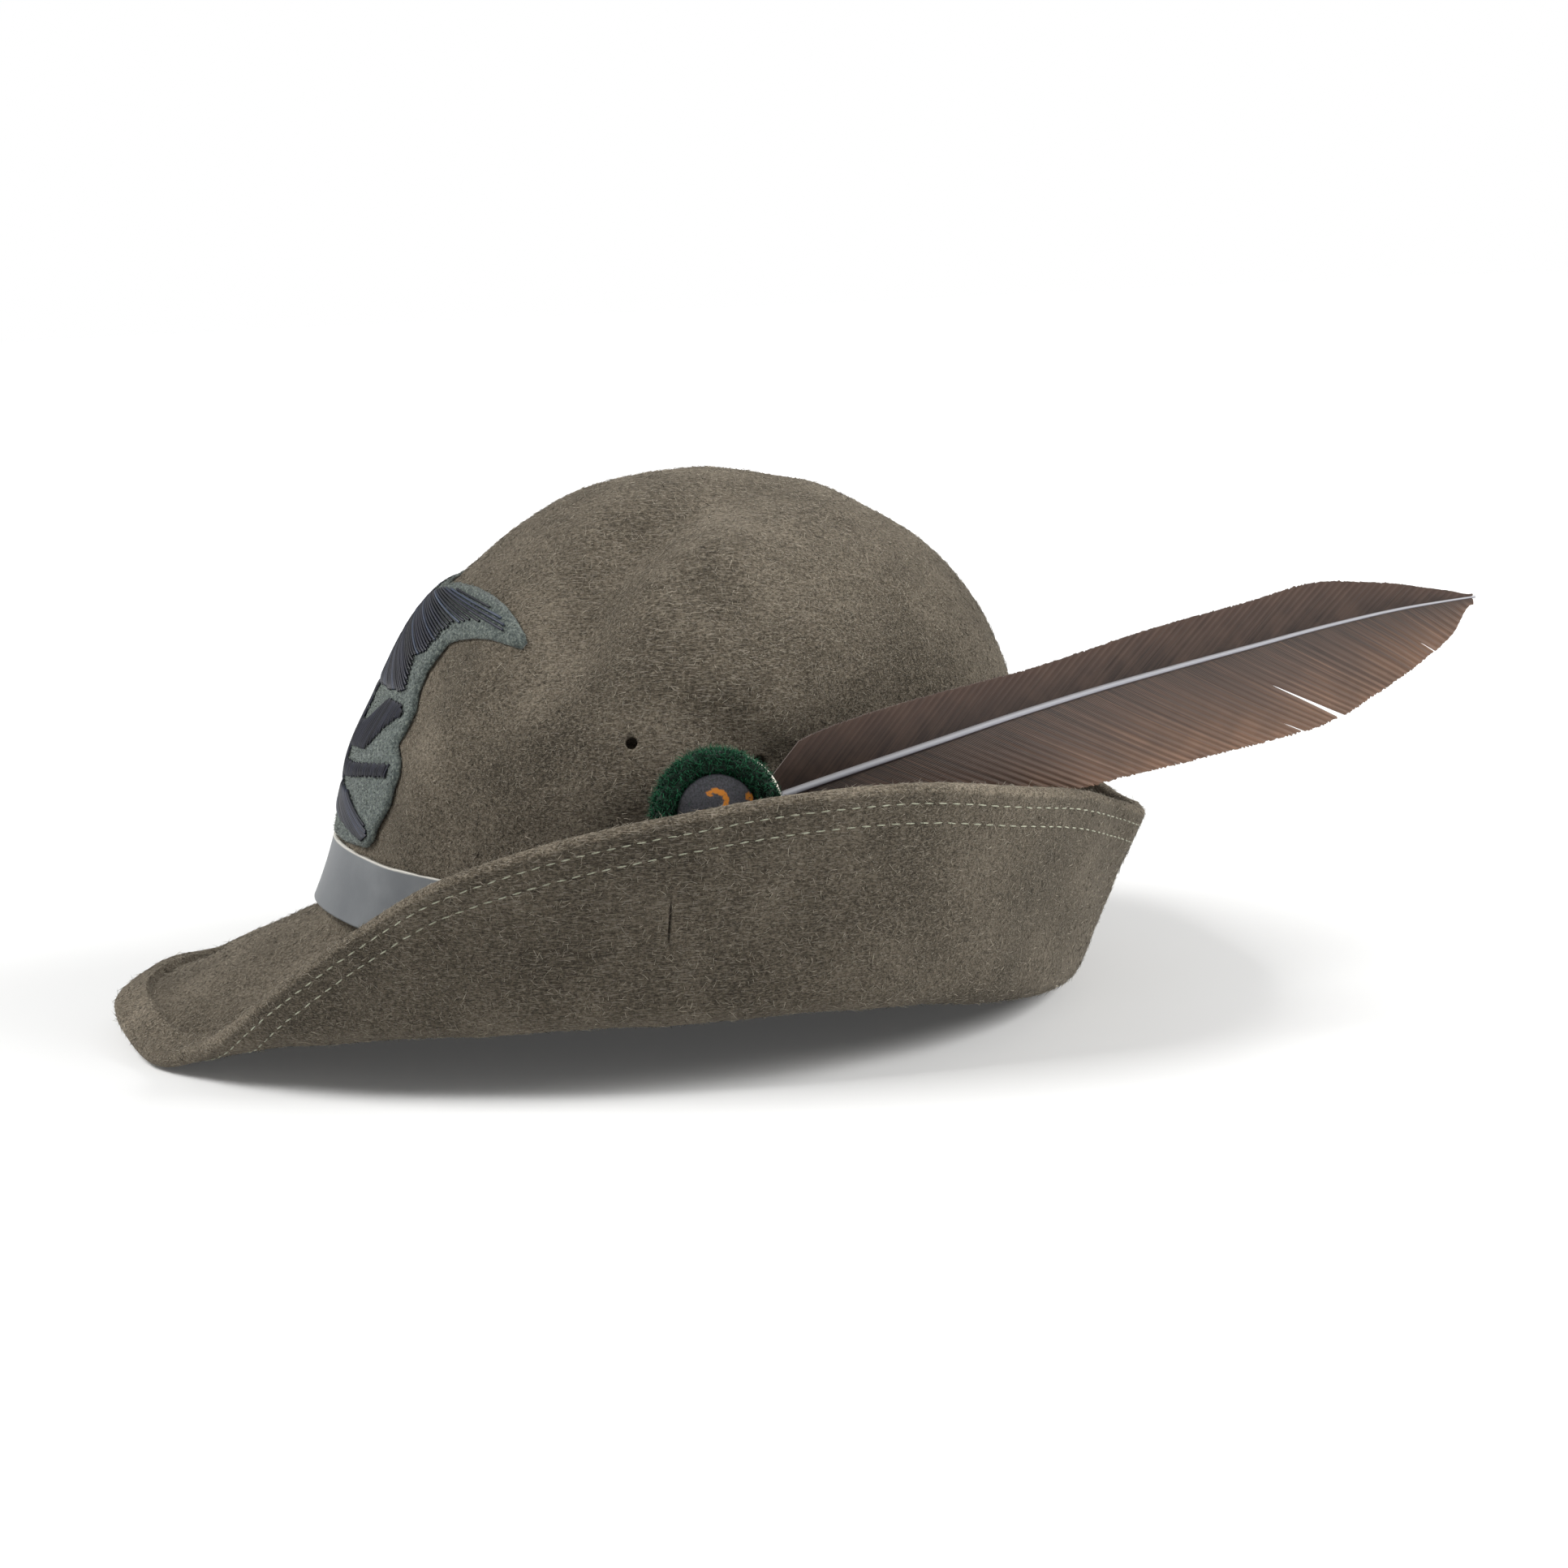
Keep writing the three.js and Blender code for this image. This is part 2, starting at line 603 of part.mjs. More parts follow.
function pompomDisc() {
  const floor = POMPOM.standOff + POMPOM.plateThickness + 0.3 + POMPOM.depth - POMPOM.recess + 0.3;
  const disc = new THREE.CylinderGeometry(POMPOM.discRadius, POMPOM.discRadius, POMPOM.discThickness, 32);
  return disc.rotateX(Math.PI / 2).translate(0, 0, floor + POMPOM.discThickness / 2);
}

function pompomPlate() {
  const { plateRadius, plateThickness, plateShift, standOff } = POMPOM;
  const plate = new THREE.CylinderGeometry(plateRadius, plateRadius, plateThickness, 32);
  return plate.rotateX(Math.PI / 2).translate(plateShift.back, plateShift.up, standOff + plateThickness / 2);
}

const quillPoints = QUILL.rows.map(([x, y, z]) => new THREE.Vector3(x, y, z));
const quillCurve = new THREE.CatmullRomCurve3(quillPoints, false, 'centripetal');
const quillLength = quillCurve.getLength();

// Frame at a distance along the quill: up across the vane, out of the vane, and the quill's radius
function quillFrame(distance) {
  const u = THREE.MathUtils.clamp(distance / quillLength, 0, 1);
  const run = quillCurve.getTangentAt(u);
  const out = run.clone().cross(new THREE.Vector3(0, 0, 1)).normalize();
  const up = out.clone().cross(run);
  const place = quillCurve.getUtoTmapping(u) * (QUILL.rows.length - 1);
  const i = Math.min(Math.floor(place), QUILL.rows.length - 2);
  const radius = THREE.MathUtils.lerp(QUILL.rows[i][3], QUILL.rows[i + 1][3], place - i);
  return { point: quillCurve.getPointAt(u), run, up, out, radius };
}

// Ring around the quill, facing out of a tube that runs along it
function quillRing(distance, radius, sides) {
  const { point, up, out } = quillFrame(distance);
  const ring = [];
  for (let c = 0; c < sides; c += 1) {
    const angle = (2 * Math.PI * c) / sides;
    ring.push(point.clone().addScaledVector(up, radius * Math.cos(angle))
      .addScaledVector(out, -radius * Math.sin(angle)));
  }
  return ring;
}

function featherQuill() {
  const steps = 22;
  const sides = 6;
  const rings = [];
  for (let i = 0; i <= steps; i += 1) {
    const distance = (quillLength * i) / steps;
    rings.push(quillRing(distance, quillFrame(distance).radius, sides));
  }
  return spunSolid(quillCurve.getPoint(0), rings, quillCurve.getPoint(1));
}

// Place on a vane: distance along the quill, reach from it (up is positive), height off its middle
function vanePoint(distance, reach, height) {
  const { point, up, out } = quillFrame(distance);
  return point.clone().addScaledVector(up, reach).addScaledVector(out, height - VANE.cup * reach * reach);
}

// One vane: "side" is 1 for the narrow upper one and -1 for the broad lower one
function featherVane(side) {
  const column = side > 0 ? 'up' : 'down';
  const steps = 21;
  const across = 4;
  const first = VANE.rows[0][0];
  const last = VANE.rows[VANE.rows.length - 1][0];
  const faces = [1, -1].map((face) => {
    const grid = [];
    for (let i = 0; i <= steps; i += 1) {
      const distance = THREE.MathUtils.lerp(first, last, i / steps);
      const inner = quillFrame(distance).radius + VANE.gap;
      const width = Math.max(along(VANE, distance)[column] - inner, 0.5);
      const row = [];
      for (let k = 0; k <= across; k += 1) {
        row.push(vanePoint(distance, side * (inner + (width * k) / across), (face * VANE.thickness) / 2));
      }
      grid.push(side > 0 ? row : row.reverse());
    }
    return grid;
  });
  const vane = slabSolid(faces[0], faces[1]);
  return side > 0 ? vane : fromManifold(toManifold(vane).subtract(toManifold(splitWedge())));
}

// Wedge that opens the split of the broad vane
function splitWedge() {
  const { innerDistance, innerReach, outerDistance, outerReach, mouth } = SPLIT;
  const grid = (height) => [
    [vanePoint(innerDistance, -innerReach, height), vanePoint(innerDistance + 0.1, -innerReach, height)],
    [vanePoint(outerDistance - mouth / 2, -outerReach, height),
      vanePoint(outerDistance + mouth / 2, -outerReach, height)],
  ];
  return slabSolid(grid(3 * VANE.thickness), grid(-3 * VANE.thickness));
}

// Short tube that holds the quill, hidden behind the pompom
function quillSleeve() {
  const { start, outer, bore, length, sides } = SLEEVE;
  const steps = 4;
  const rings = [];
  for (let i = 0; i <= steps; i += 1) rings.push(quillRing(start + (length * i) / steps, outer, sides));
  for (let i = steps; i >= 0; i -= 1) rings.push(quillRing(start + (length * i) / steps, bore, sides));
  return tubeSolid(rings);
}

function material(color, roughness, metalness = 0) {
  return new THREE.MeshStandardMaterial({ color, roughness, metalness });
}

function piece(name, geometry, finish) {
  const mesh = new THREE.Mesh(geometry, finish);
  mesh.name = name;
  return mesh;
}

const hat = new THREE.Group();
hat.add(
  piece('felt_body', feltBody(), material(0x5e574a, 0.95)),
  piece('hat_band', hatBand(), material(0x6e7277, 0.5)),
  piece('badge_backing', badgeBacking(), material(0x66706a, 0.95)),
  piece('badge_embroidery', badgeEmbroidery(), material(0x23252f, 0.8)),
  piece('feather_quill', featherQuill(), material(0xa9a6a8, 0.5)),
  piece('feather_vane_upper', featherVane(1), material(0x43352f, 0.6)),
  piece('feather_vane_lower', featherVane(-1), material(0x5b473c, 0.6)),
  piece('quill_sleeve', quillSleeve(), material(0x8d8a82, 0.4, 0.8)),
);

const pompom = new THREE.Group();
pompom.applyMatrix4(pompomFrame());
pompom.add(
  piece('pompom_wool', pompomWool(), material(0x12382a, 0.95)),
  piece('pompom_disc', pompomDisc(), material(0x3a3d42, 0.6)),
  piece('pompom_plate', pompomPlate(), material(0xb9b4a8, 0.4, 0.6)),
);
hat.add(pompom);

// Lay the hat on the ground, with the middle of its box over the origin
hat.quaternion.setFromUnitVectors(restUp, new THREE.Vector3(0, 0, 1));
hat.updateMatrixWorld(true);
const box = new THREE.Box3().setFromObject(hat, true);
const middle = box.getCenter(new THREE.Vector3());
hat.position.set(-middle.x, -middle.y, -box.min.z);

export default hat;
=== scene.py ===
"""Felt mountain hat with a hat band, a cloth badge, a wool pompom and a long feather, dressed for render."""
import logging
import math
from collections.abc import Callable, Sequence
from dataclasses import dataclass
from enum import Enum

import bmesh
import bpy
import numpy as np
from mathutils import Matrix, Vector


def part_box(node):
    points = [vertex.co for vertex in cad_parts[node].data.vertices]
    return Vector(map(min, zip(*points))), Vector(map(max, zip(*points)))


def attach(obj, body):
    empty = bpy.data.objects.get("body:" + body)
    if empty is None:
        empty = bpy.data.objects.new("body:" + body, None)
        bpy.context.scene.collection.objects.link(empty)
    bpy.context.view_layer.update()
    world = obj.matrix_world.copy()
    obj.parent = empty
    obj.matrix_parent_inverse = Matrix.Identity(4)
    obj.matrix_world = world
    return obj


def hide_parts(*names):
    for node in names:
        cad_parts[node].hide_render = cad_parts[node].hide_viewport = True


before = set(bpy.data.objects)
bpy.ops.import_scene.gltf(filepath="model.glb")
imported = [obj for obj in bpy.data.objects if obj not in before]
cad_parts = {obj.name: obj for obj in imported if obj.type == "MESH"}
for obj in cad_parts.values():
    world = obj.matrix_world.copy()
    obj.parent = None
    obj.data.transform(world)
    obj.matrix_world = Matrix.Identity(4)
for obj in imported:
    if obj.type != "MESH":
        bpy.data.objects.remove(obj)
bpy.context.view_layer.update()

LOG = logging.getLogger("hat")
MM = 0.001
ROOT = "root"


@dataclass(frozen=True)
class Table:
    """Rows of sizes with named columns; the first column is where a row applies."""

    columns: tuple[str, ...]
    rows: tuple[tuple[float, ...], ...]

    def along(self, at: np.ndarray | float) -> dict[str, np.ndarray]:
        """Values between the rows, joined smoothly.

        Args:
            at: Places along the first column.

        Returns:
            The other columns' values by name.
        """
        rows = np.array(self.rows)
        where, values = rows[:, 0], rows[:, 1:]
        slope = np.zeros_like(values)
        slope[1:-1] = (values[2:] - values[:-2]) / (where[2:] - where[:-2])[:, None]
        at = np.asarray(at, dtype=float)
        i = np.clip(np.searchsorted(where, at, side="right") - 1, 0, len(where) - 2)
        step = (where[i + 1] - where[i])[..., None]
        u = ((at - where[i])[..., None]) / step
        mixed = (
            (2 * u**3 - 3 * u**2 + 1) * values[i]
            + (u**3 - 2 * u**2 + u) * step * slope[i]
            + (3 * u**2 - 2 * u**3) * values[i + 1]
            + (u**3 - u**2) * step * slope[i + 1]
        )
        return {name: mixed[..., k] for k, name in enumerate(self.columns[1:])}


# Sizes in millimetres and degrees, in the hat's own frame: x to the wearer's left, -y to the front, z up.
# Stations run around the hat: 0 is the front, 90 the wearer's left, 180 the back.
FELT = 2.5
HEM_WIDTH = 13.0
WALL_FOOT = 3.5
HALF_WIDTH, FRONT_REACH, BACK_REACH = 85.5, 105.5, 103.5
DOME_CENTRE = np.array([0.0, 4.0, 45.0])
REST_PITCH, REST_ROLL = 7.05, 2.69
REST_PLACE = (2.49, -37.008, 17.971)

DOME = Table(("lift", "front", "side", "back"), (
    (0, 104.0, 84.5, 98.8), (15, 99.6, 84.6, 101.6), (30, 99.2, 87.0, 103.8), (45, 98.2, 91.0, 105.2),
    (60, 99.8, 96.0, 104.4), (75, 100.6, 100.6, 103.2), (90, 101.8, 101.8, 101.8)))
BREAK_LINE = Table(("station", "height"), ((0, 4), (45, 1), (90, 0), (135, 5), (180, 4)))
BRIM = Table(("station", "fold_out", "fold_up", "edge_out", "edge_up", "radius"), (
    (0, 36, -17.5, 62.3, -32.5, 30), (10, 40, -22.5, 57.5, -36, 26), (20, 42, -29.5, 52.5, -37.5, 16),
    (30, 40.5, -29, 48, -23, 10), (40, 35.5, -25, 43.5, -2.5, 9), (50, 29, -21.5, 38.5, 17.5, 9),
    (60, 23.5, -17.5, 34, 34.5, 8.5), (75, 18, -11, 27.5, 49.5, 8), (90, 16, -4.2, 24.5, 59.5, 8),
    (105, 17.5, 2.6, 25, 67, 8), (120, 20.5, 5.5, 29, 71, 8), (135, 20.5, 4, 32, 69.5, 8),
    (150, 20, 1, 31, 66, 8), (165, 19, -3, 33, 59, 8), (180, 18.5, -5, 38, 53, 8)))
RIGHT_SIDE = Table(("station", "edge_lift", "fold_lift"), (
    (0, 0.5, 0), (10, 8, 1), (20, 12, -2), (30, 4, -5.5), (40, -15, -8), (50, -17, -6), (60, -11, -2),
    (75, -4, 0), (90, 0, 0), (120, 0, 0), (150, -3, -1), (170, -3, -1), (180, 0, 0)))
PINCH = Table(("station", "lift", "depth", "half_width"), (
    (172, 80, 0.8, 13), (120, 77, 3.5, 13), (88, 74, 6.0, 12.5), (63, 63, 8.2, 12), (57, 50, 8.6, 12),
    (58, 38, 6.2, 12.5), (55, 28, 2.6, 14), (53, 18, 0.5, 15)))
HOLLOW = Table(("station", "lift", "depth", "half_width"), (
    (82, 27, 0.5, 12), (94, 22, 4.0, 12), (104, 18, 8.0, 14), (118, 18, 9.5, 15), (130, 22, 6.5, 15),
    (146, 29, 0.5, 14)))
CORNER = Table(("station", "lift", "depth", "half_width"), (
    (39, 28, -1.4, 10), (36, 12, -2.4, 9), (33, -3, -1.8, 9)))
VENT_DIAMETER = 3.6
VENTS = ((75.5, 19.3), (102.7, 18.5))

BADGE_GAP, BADGE_CLOTH, BADGE_THREAD = 0.5, 1.5, 0.9
BADGE_OUTLINE = (
    (0, 37), (11.6, 39.5), (22.9, 40.5), (31, 40.2), (36.8, 39.2), (41.7, 37.5), (45.4, 35.5), (46.8, 34.1),
    (46.4, 32.6), (38.2, 32.3), (33.7, 31.6), (29.3, 30.4), (26.9, 29.2), (25.6, 26.2), (24.5, 23.4),
    (24.6, 19.7), (25.8, 16.5), (25.2, 12.4), (24.4, 9.8), (27.5, 7.1), (28.2, 5.2), (26.6, -3),
    (25.3, -8.5), (25.2, -12.5), (23.8, -14.8), (15.5, -16), (0, -17))


class Motif(Enum):
    """Fields of the embroidery on the wearer's left half of the badge, as outlines of station and lift."""

    WING = ((0, 34), (7, 36.8), (17.6, 38.4), (25.8, 38.3), (32.5, 37.9), (37.9, 37), (42, 34.9), (41.9, 33.7),
            (35.2, 34.6), (31, 34.2), (26.5, 32.7), (24.4, 30.6), (22.9, 26.6), (18.8, 24.5), (20.8, 21.1),
            (21.8, 18.5), (14.4, 17.6), (3.2, 17.2), (0, 17.2))
    SPINE = ((0, 17.2), (3.2, 17.2), (3.2, -1.2), (0, -1.2))
    WEDGE = ((3.2, 10.2), (9, 11.3), (16.1, 16.5), (21.8, 16.6), (24.1, 15.2), (19.2, 11.9), (17.1, 9.6),
             (14.6, 6.9), (3.2, 5.6))
    BAR = ((3.2, 3.4), (11.6, 4.2), (25.4, 6.6), (25.6, 4.1), (9.6, 1.3), (3.2, 0.6))
    CHEVRON = ((0, -1.2), (3.2, -1.2), (11.9, -1.6), (18, -5.5), (23.3, -9.2), (24.2, -11.2), (23, -13),
               (13.8, -10.8), (0, -8.6))


QUILL = Table(("place", "x", "y", "z", "radius"), (
    (0, 87.7, 0, 50.9, 1.4), (1, 86.4, 13, 56.3, 1.45), (2, 83.1, 31, 63.8, 1.4), (3, 78.7, 49, 70.8, 1.35),
    (4, 72.8, 69, 78.3, 1.3), (5, 65.4, 92, 86.8, 1.2), (6, 57.6, 116, 95.0, 1.1), (7, 50.5, 139, 102.2, 1.0),
    (8, 43.8, 162, 109.2, 0.9), (9, 37.2, 185, 116.2, 0.75), (10, 31.2, 208, 122.4, 0.6),
    (11, 25.2, 231, 127.1, 0.4)))
VANE = Table(("distance", "up", "down"), (
    (20, 2, 1.5), (25, 8.5, 3), (31, 11.8, 4), (37, 13, 5.5), (48, 14.2, 11), (66, 14.2, 19), (86, 13.2, 25),
    (108, 11.8, 27.2), (126, 12, 28), (150, 13, 29), (180, 13.2, 29.8), (197, 13.8, 29.8), (206, 13, 28),
    (216, 10.5, 24.5), (226, 8, 20.5), (236, 5, 15.5), (244, 2.8, 10), (250.5, 1.0, 2.2)))
VANE_CUP = 0.0035
MEAN_RADIUS = 98.0


def unit(vectors: np.ndarray) -> np.ndarray:
    """Vectors scaled to length one."""
    return vectors / np.maximum(np.linalg.norm(vectors, axis=-1, keepdims=True), 1e-12)


class HatForm:
    """Shape of the felt, as functions of station and lift, and the pose in which the hat rests."""

    def __init__(self) -> None:
        """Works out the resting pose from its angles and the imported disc."""
        up = unit(np.array([math.tan(math.radians(REST_ROLL)), -math.tan(math.radians(REST_PITCH)), 1.0]))
        turn = Vector(up).rotation_difference(Vector((0, 0, 1))).to_matrix()
        self.turn = np.array(turn)
        self.shift = np.array(REST_PLACE)
        low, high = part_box("pompom_disc")
        middle = np.array([(low[k] + high[k]) / 2 / MM for k in range(3)])
        self.disc_middle = (middle - self.shift) @ self.turn

    def to_world(self, points: np.ndarray) -> np.ndarray:
        """Points of the hat's own frame in millimetres, as metres in the part's frame."""
        return (points @ self.turn.T + self.shift) * MM

    @staticmethod
    def _direction(station: np.ndarray, lift: np.ndarray) -> np.ndarray:
        """Direction from the dome's centre."""
        s, l = np.radians(station), np.radians(lift)
        return np.stack([np.cos(l) * np.sin(s), -np.cos(l) * np.cos(s), np.sin(l)], -1)

    @staticmethod
    def one_side(station: np.ndarray) -> np.ndarray:
        """Stations folded onto the wearer's left half."""
        turn = np.mod(station, 360.0)
        return np.where(turn > 180, 360 - turn, turn)

    def crease_depth(self, station: np.ndarray, lift: np.ndarray) -> np.ndarray:
        """How far the creases press the felt in."""
        here = self._direction(self.one_side(station), lift)
        total = np.zeros(here.shape[:-1])
        for crease in (PINCH, HOLLOW, CORNER):
            strongest = np.zeros_like(total)
            for (s0, l0, d0, w0), (s1, l1, d1, w1) in zip(crease.rows, crease.rows[1:]):
                start = self._direction(np.array(float(s0)), np.array(float(l0)))
                run = self._direction(np.array(float(s1)), np.array(float(l1))) - start
                offset = here - start
                u = np.clip(offset @ run / (run @ run), 0, 1)
                distance = np.linalg.norm(offset - u[..., None] * run, axis=-1) * MEAN_RADIUS
                press = (d0 + (d1 - d0) * u) * np.exp(-((distance / (w0 + (w1 - w0) * u)) ** 2))
                strongest = np.where(np.abs(press) > np.abs(strongest), press, strongest)
            total += strongest
        return total

    def opening(self, station: np.ndarray) -> tuple[np.ndarray, np.ndarray]:
        """Head opening at a station, and the way out of it."""
        s = np.radians(station)
        reach = np.where(np.cos(s) > 0, FRONT_REACH, BACK_REACH)
        height = BREAK_LINE.along(self.one_side(station))["height"]
        point = np.stack([HALF_WIDTH * np.sin(s), -reach * np.cos(s), height], -1)
        out = unit(np.stack([np.sin(s) / HALF_WIDTH, -np.cos(s) / reach, np.zeros_like(s)], -1))
        return point, out

    def crown(self, station: np.ndarray | float, lift: np.ndarray | float,
              proud: np.ndarray | float = 0.0) -> np.ndarray:
        """Outside of the crown.

        Args:
            station: Degrees around the hat.
            lift: Degrees above the dome's centre, or millimetres below it as a negative number.
            proud: Height above the felt.

        Returns:
            Points in the hat's own frame.
        """
        station, lift, proud = np.broadcast_arrays(
            np.asarray(station, float), np.asarray(lift, float), np.asarray(proud, float))
        on_dome = np.maximum(lift, 0)
        radii = DOME.along(on_dome)
        s = np.radians(station)
        towards = np.where(np.cos(s) > 0, radii["front"], radii["back"])
        radius = 1 / np.hypot(np.cos(s) / towards, np.sin(s) / radii["side"])
        radius = radius - self.crease_depth(station, on_dome) + proud
        ring = self._direction(station, on_dome) * radius[..., None] + DOME_CENTRE
        foot, out = self.opening(station)
        outside = foot + out * (FELT / 2 + proud)[..., None]
        share = -lift / (DOME_CENTRE[2] - outside[..., 2])
        wall = ring + (outside - ring) * share[..., None]
        return np.where((lift >= 0)[..., None], ring, wall)

    def crown_normal(self, station: float, lift: float) -> np.ndarray:
        """Way out of the crown at a place."""
        around = self.crown(station + 1, lift) - self.crown(station - 1, lift)
        upward = self.crown(station, lift + 1) - self.crown(station, lift - 1)
        return unit(np.cross(around, upward))


class BrimSection:
    """Section of the brim at each of a row of stations: shelf, rounded fold and turned-up part."""

    def __init__(self, form: HatForm, stations: np.ndarray) -> None:
        """Measures the sections.

        Args:
            form: Shape of the hat.
            stations: Degrees around the hat.
        """
        side = form.one_side(stations)
        right = np.mod(stations, 360.0) > 180
        row = BRIM.along(side)
        lift = RIGHT_SIDE.along(side)
        edge_up = row["edge_up"] + np.where(right, lift["edge_lift"], 0)
        fold_up = row["fold_up"] + np.where(right, lift["fold_lift"], 0)
        self.point, self.out = form.opening(stations)
        start = np.stack([np.zeros_like(side), self.point[:, 2]], -1)
        fold = np.stack([row["fold_out"], fold_up], -1)
        edge = np.stack([row["edge_out"], edge_up], -1)
        back, ahead = start - fold, edge - fold
        back_length, ahead_length = np.linalg.norm(back, axis=-1), np.linalg.norm(ahead, axis=-1)
        half = np.arccos(np.clip((back * ahead).sum(-1) / back_length / ahead_length, -1, 1)) / 2
        tangent = np.minimum(row["radius"] / np.tan(half), np.minimum(0.9 * back_length, 0.8 * ahead_length))
        self.radius = tangent * np.tan(half)
        self.shelf = back_length - tangent
        self.fold = self.radius * (np.pi - 2 * half)
        self.length = self.shelf + self.fold + ahead_length - tangent
        self.start, self.back, self.ahead = start, unit(back), unit(ahead)
        # The fold turns up, but down at the peak
        self.sense = np.sign(back[:, 1] * ahead[:, 0] - back[:, 0] * ahead[:, 1])
        self.arc_start = fold + self.back * tangent[:, None]
        self.arc_end = fold + self.ahead * tangent[:, None]
        self.centre = fold + unit(self.back + self.ahead) * (self.radius / np.sin(half))[:, None]

    def at(self, distance: np.ndarray) -> np.ndarray:
        """Points at distances from the head opening, as [row, station, xyz].

        Args:
            distance: Millimetres along the section, as [row, station].

        Returns:
            Points in the hat's own frame.
        """
        flat = self.start - self.back * distance[..., None]
        angle = self.sense * (distance - self.shelf) / self.radius
        spoke = self.arc_start - self.centre
        turned = self.centre + np.stack([
            spoke[:, 0] * np.cos(angle) - spoke[:, 1] * np.sin(angle),
            spoke[:, 0] * np.sin(angle) + spoke[:, 1] * np.cos(angle)], -1)
        rise = self.arc_end + self.ahead * (distance - self.shelf - self.fold)[..., None]
        flat = np.where((distance > self.shelf)[..., None], turned, flat)
        flat = np.where((distance >= self.shelf + self.fold)[..., None], rise, flat)
        points = self.point + self.out * flat[..., :1]
        points[..., 2] = flat[..., 1]
        return points


def grid_normals(grid: np.ndarray, closed: bool = True) -> np.ndarray:
    """Outward normals of a grid [row, column, xyz] whose rows run downwards and columns to the wearer's left."""
    if closed:
        around = np.roll(grid, -1, axis=1) - np.roll(grid, 1, axis=1)
    else:
        around = np.gradient(grid, axis=1)
    return unit(np.cross(around, -np.gradient(grid, axis=0)))


def waves(points: np.ndarray, wavelength: float, seed: int, count: int = 24) -> np.ndarray:
    """Soft seeded waviness between about -1 and 1.

    Args:
        points: Places in millimetres.
        wavelength: Typical distance between crests.
        seed: Seed of the pattern.
        count: How many plane waves are summed.

    Returns:
        One value for each point.
    """
    rng = np.random.default_rng(seed)
    total = np.zeros(points.shape[:-1])
    for _ in range(count):
        axis = unit(rng.normal(size=3)) * 2 * np.pi / (wavelength * rng.uniform(0.7, 1.6))
        total += np.sin(points @ axis + rng.uniform(0, 2 * np.pi))
    return total / math.sqrt(count)


def make_object(name: str, points: np.ndarray, faces: Sequence[Sequence[int]], form: HatForm,
                edges: Sequence[tuple[int, int]] = ()) -> bpy.types.Object:
    """New smooth-shaded mesh object from points of the hat's own frame.

    Args:
        name: The piece's name.
        points: Millimetres in the hat's own frame.
        faces: Corner numbers of each face.
        form: The hat's shape, for its resting pose.
        edges: Loose edges, for the lines that a tree turns to threads.

    Returns:
        The linked object.
    """
    mesh = bpy.data.meshes.new(name)
    mesh.from_pydata(form.to_world(np.asarray(points)).tolist(), [tuple(e) for e in edges], [tuple(f) for f in faces])
    mesh.shade_smooth()
    piece = bpy.data.objects.new(name, mesh)
    bpy.context.scene.collection.objects.link(piece)
    return piece


def dress(piece: bpy.types.Object, finish: bpy.types.Material, slot: str, *nodes: str) -> None:
    """Gives a piece its finish and its place in the part.

    Args:
        piece: The finished mesh object.
        finish: Its material.
        slot: Not used.
        nodes: The CAD nodes that it replaces.
    """
    piece.data.materials.clear()
    piece.data.materials.append(finish)
    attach(piece, ROOT)
    if nodes:
        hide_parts(*nodes)
    LOG.info("%s: %d faces", piece.name, len(piece.data.polygons))


def ring_faces(rows: int, columns: int, wrap_rows: bool = False) -> list[tuple[int, ...]]:
    """Faces of a tube of rings, whose rows run downwards on the outside.

    Args:
        rows: How many rings.
        columns: Points in a ring.
        wrap_rows: Whether the last ring is joined to the first.

    Returns:
        Corner numbers of each face.
    """
    faces = []
    for r in range(rows if wrap_rows else rows - 1):
        below = (r + 1) % rows
        for c in range(columns):
            right = (c + 1) % columns
            faces.append((r * columns + c, below * columns + c, below * columns + right, r * columns + right))
    return faces


def capped(rings: np.ndarray) -> tuple[np.ndarray, list[tuple[int, ...]]]:
    """Closes a tube of rings with a point in the middle of its first and of its last ring.

    Args:
        rings: Grid [row, column, xyz] whose rows run downwards on the outside.

    Returns:
        All points, the two middles last, and the faces.
    """
    rows, columns = rings.shape[:2]
    points = np.concatenate([rings.reshape(-1, 3), [rings[0].mean(0), rings[-1].mean(0)]])
    faces = ring_faces(rows, columns)
    top, last = rows * columns, (rows - 1) * columns
    for c in range(columns):
        right = (c + 1) % columns
        faces += [(top, c, right), (top + 1, last + right, last + c)]
    return points, faces


def set_attribute(piece: bpy.types.Object, name: str, values: np.ndarray) -> None:
    """Stores one number for each vertex.

    Args:
        piece: The mesh object.
        name: The attribute's name, as its material or tree reads it.
        values: The numbers, in the order of the vertices.
    """
    layer = piece.data.attributes.new(name, "FLOAT", "POINT")
    layer.data.foreach_set("value", np.asarray(values, dtype=np.float32).ravel())


class Lines:
    """Lines gathered one by one, for a tree to turn into stitches or threads."""

    def __init__(self) -> None:
        """Starts with no line."""
        self.points, self.edges, self.tone, self.slim = [], [], [], []

    def add(self, line: np.ndarray, tone: np.ndarray | float = 0.0, slim: np.ndarray | float = 1.0,
            closed: bool = False) -> None:
        """Adds one line.

        Args:
            line: Its points in the hat's own frame.
            tone: Tone along it, from 0 to 1.
            slim: Share of the thread's radius along it.
            closed: Whether its end meets its start.
        """
        start, count = len(self.points), len(line)
        self.points.extend(line)
        self.edges.extend((start + i, start + (i + 1) % count) for i in range(count if closed else count - 1))
        self.tone.extend(np.broadcast_to(tone, count))
        self.slim.extend(np.broadcast_to(slim, count))

    def source(self, name: str, form: HatForm, toned: bool = True) -> bpy.types.Object:
        """Object that carries the lines, with their tone and slimness where they are "toned"."""
        piece = make_object(name, np.array(self.points), (), form, self.edges)
        if toned:
            set_attribute(piece, "tone", np.clip(self.tone, 0, 1))
            set_attribute(piece, "slim", self.slim)
        return piece


# Node trees

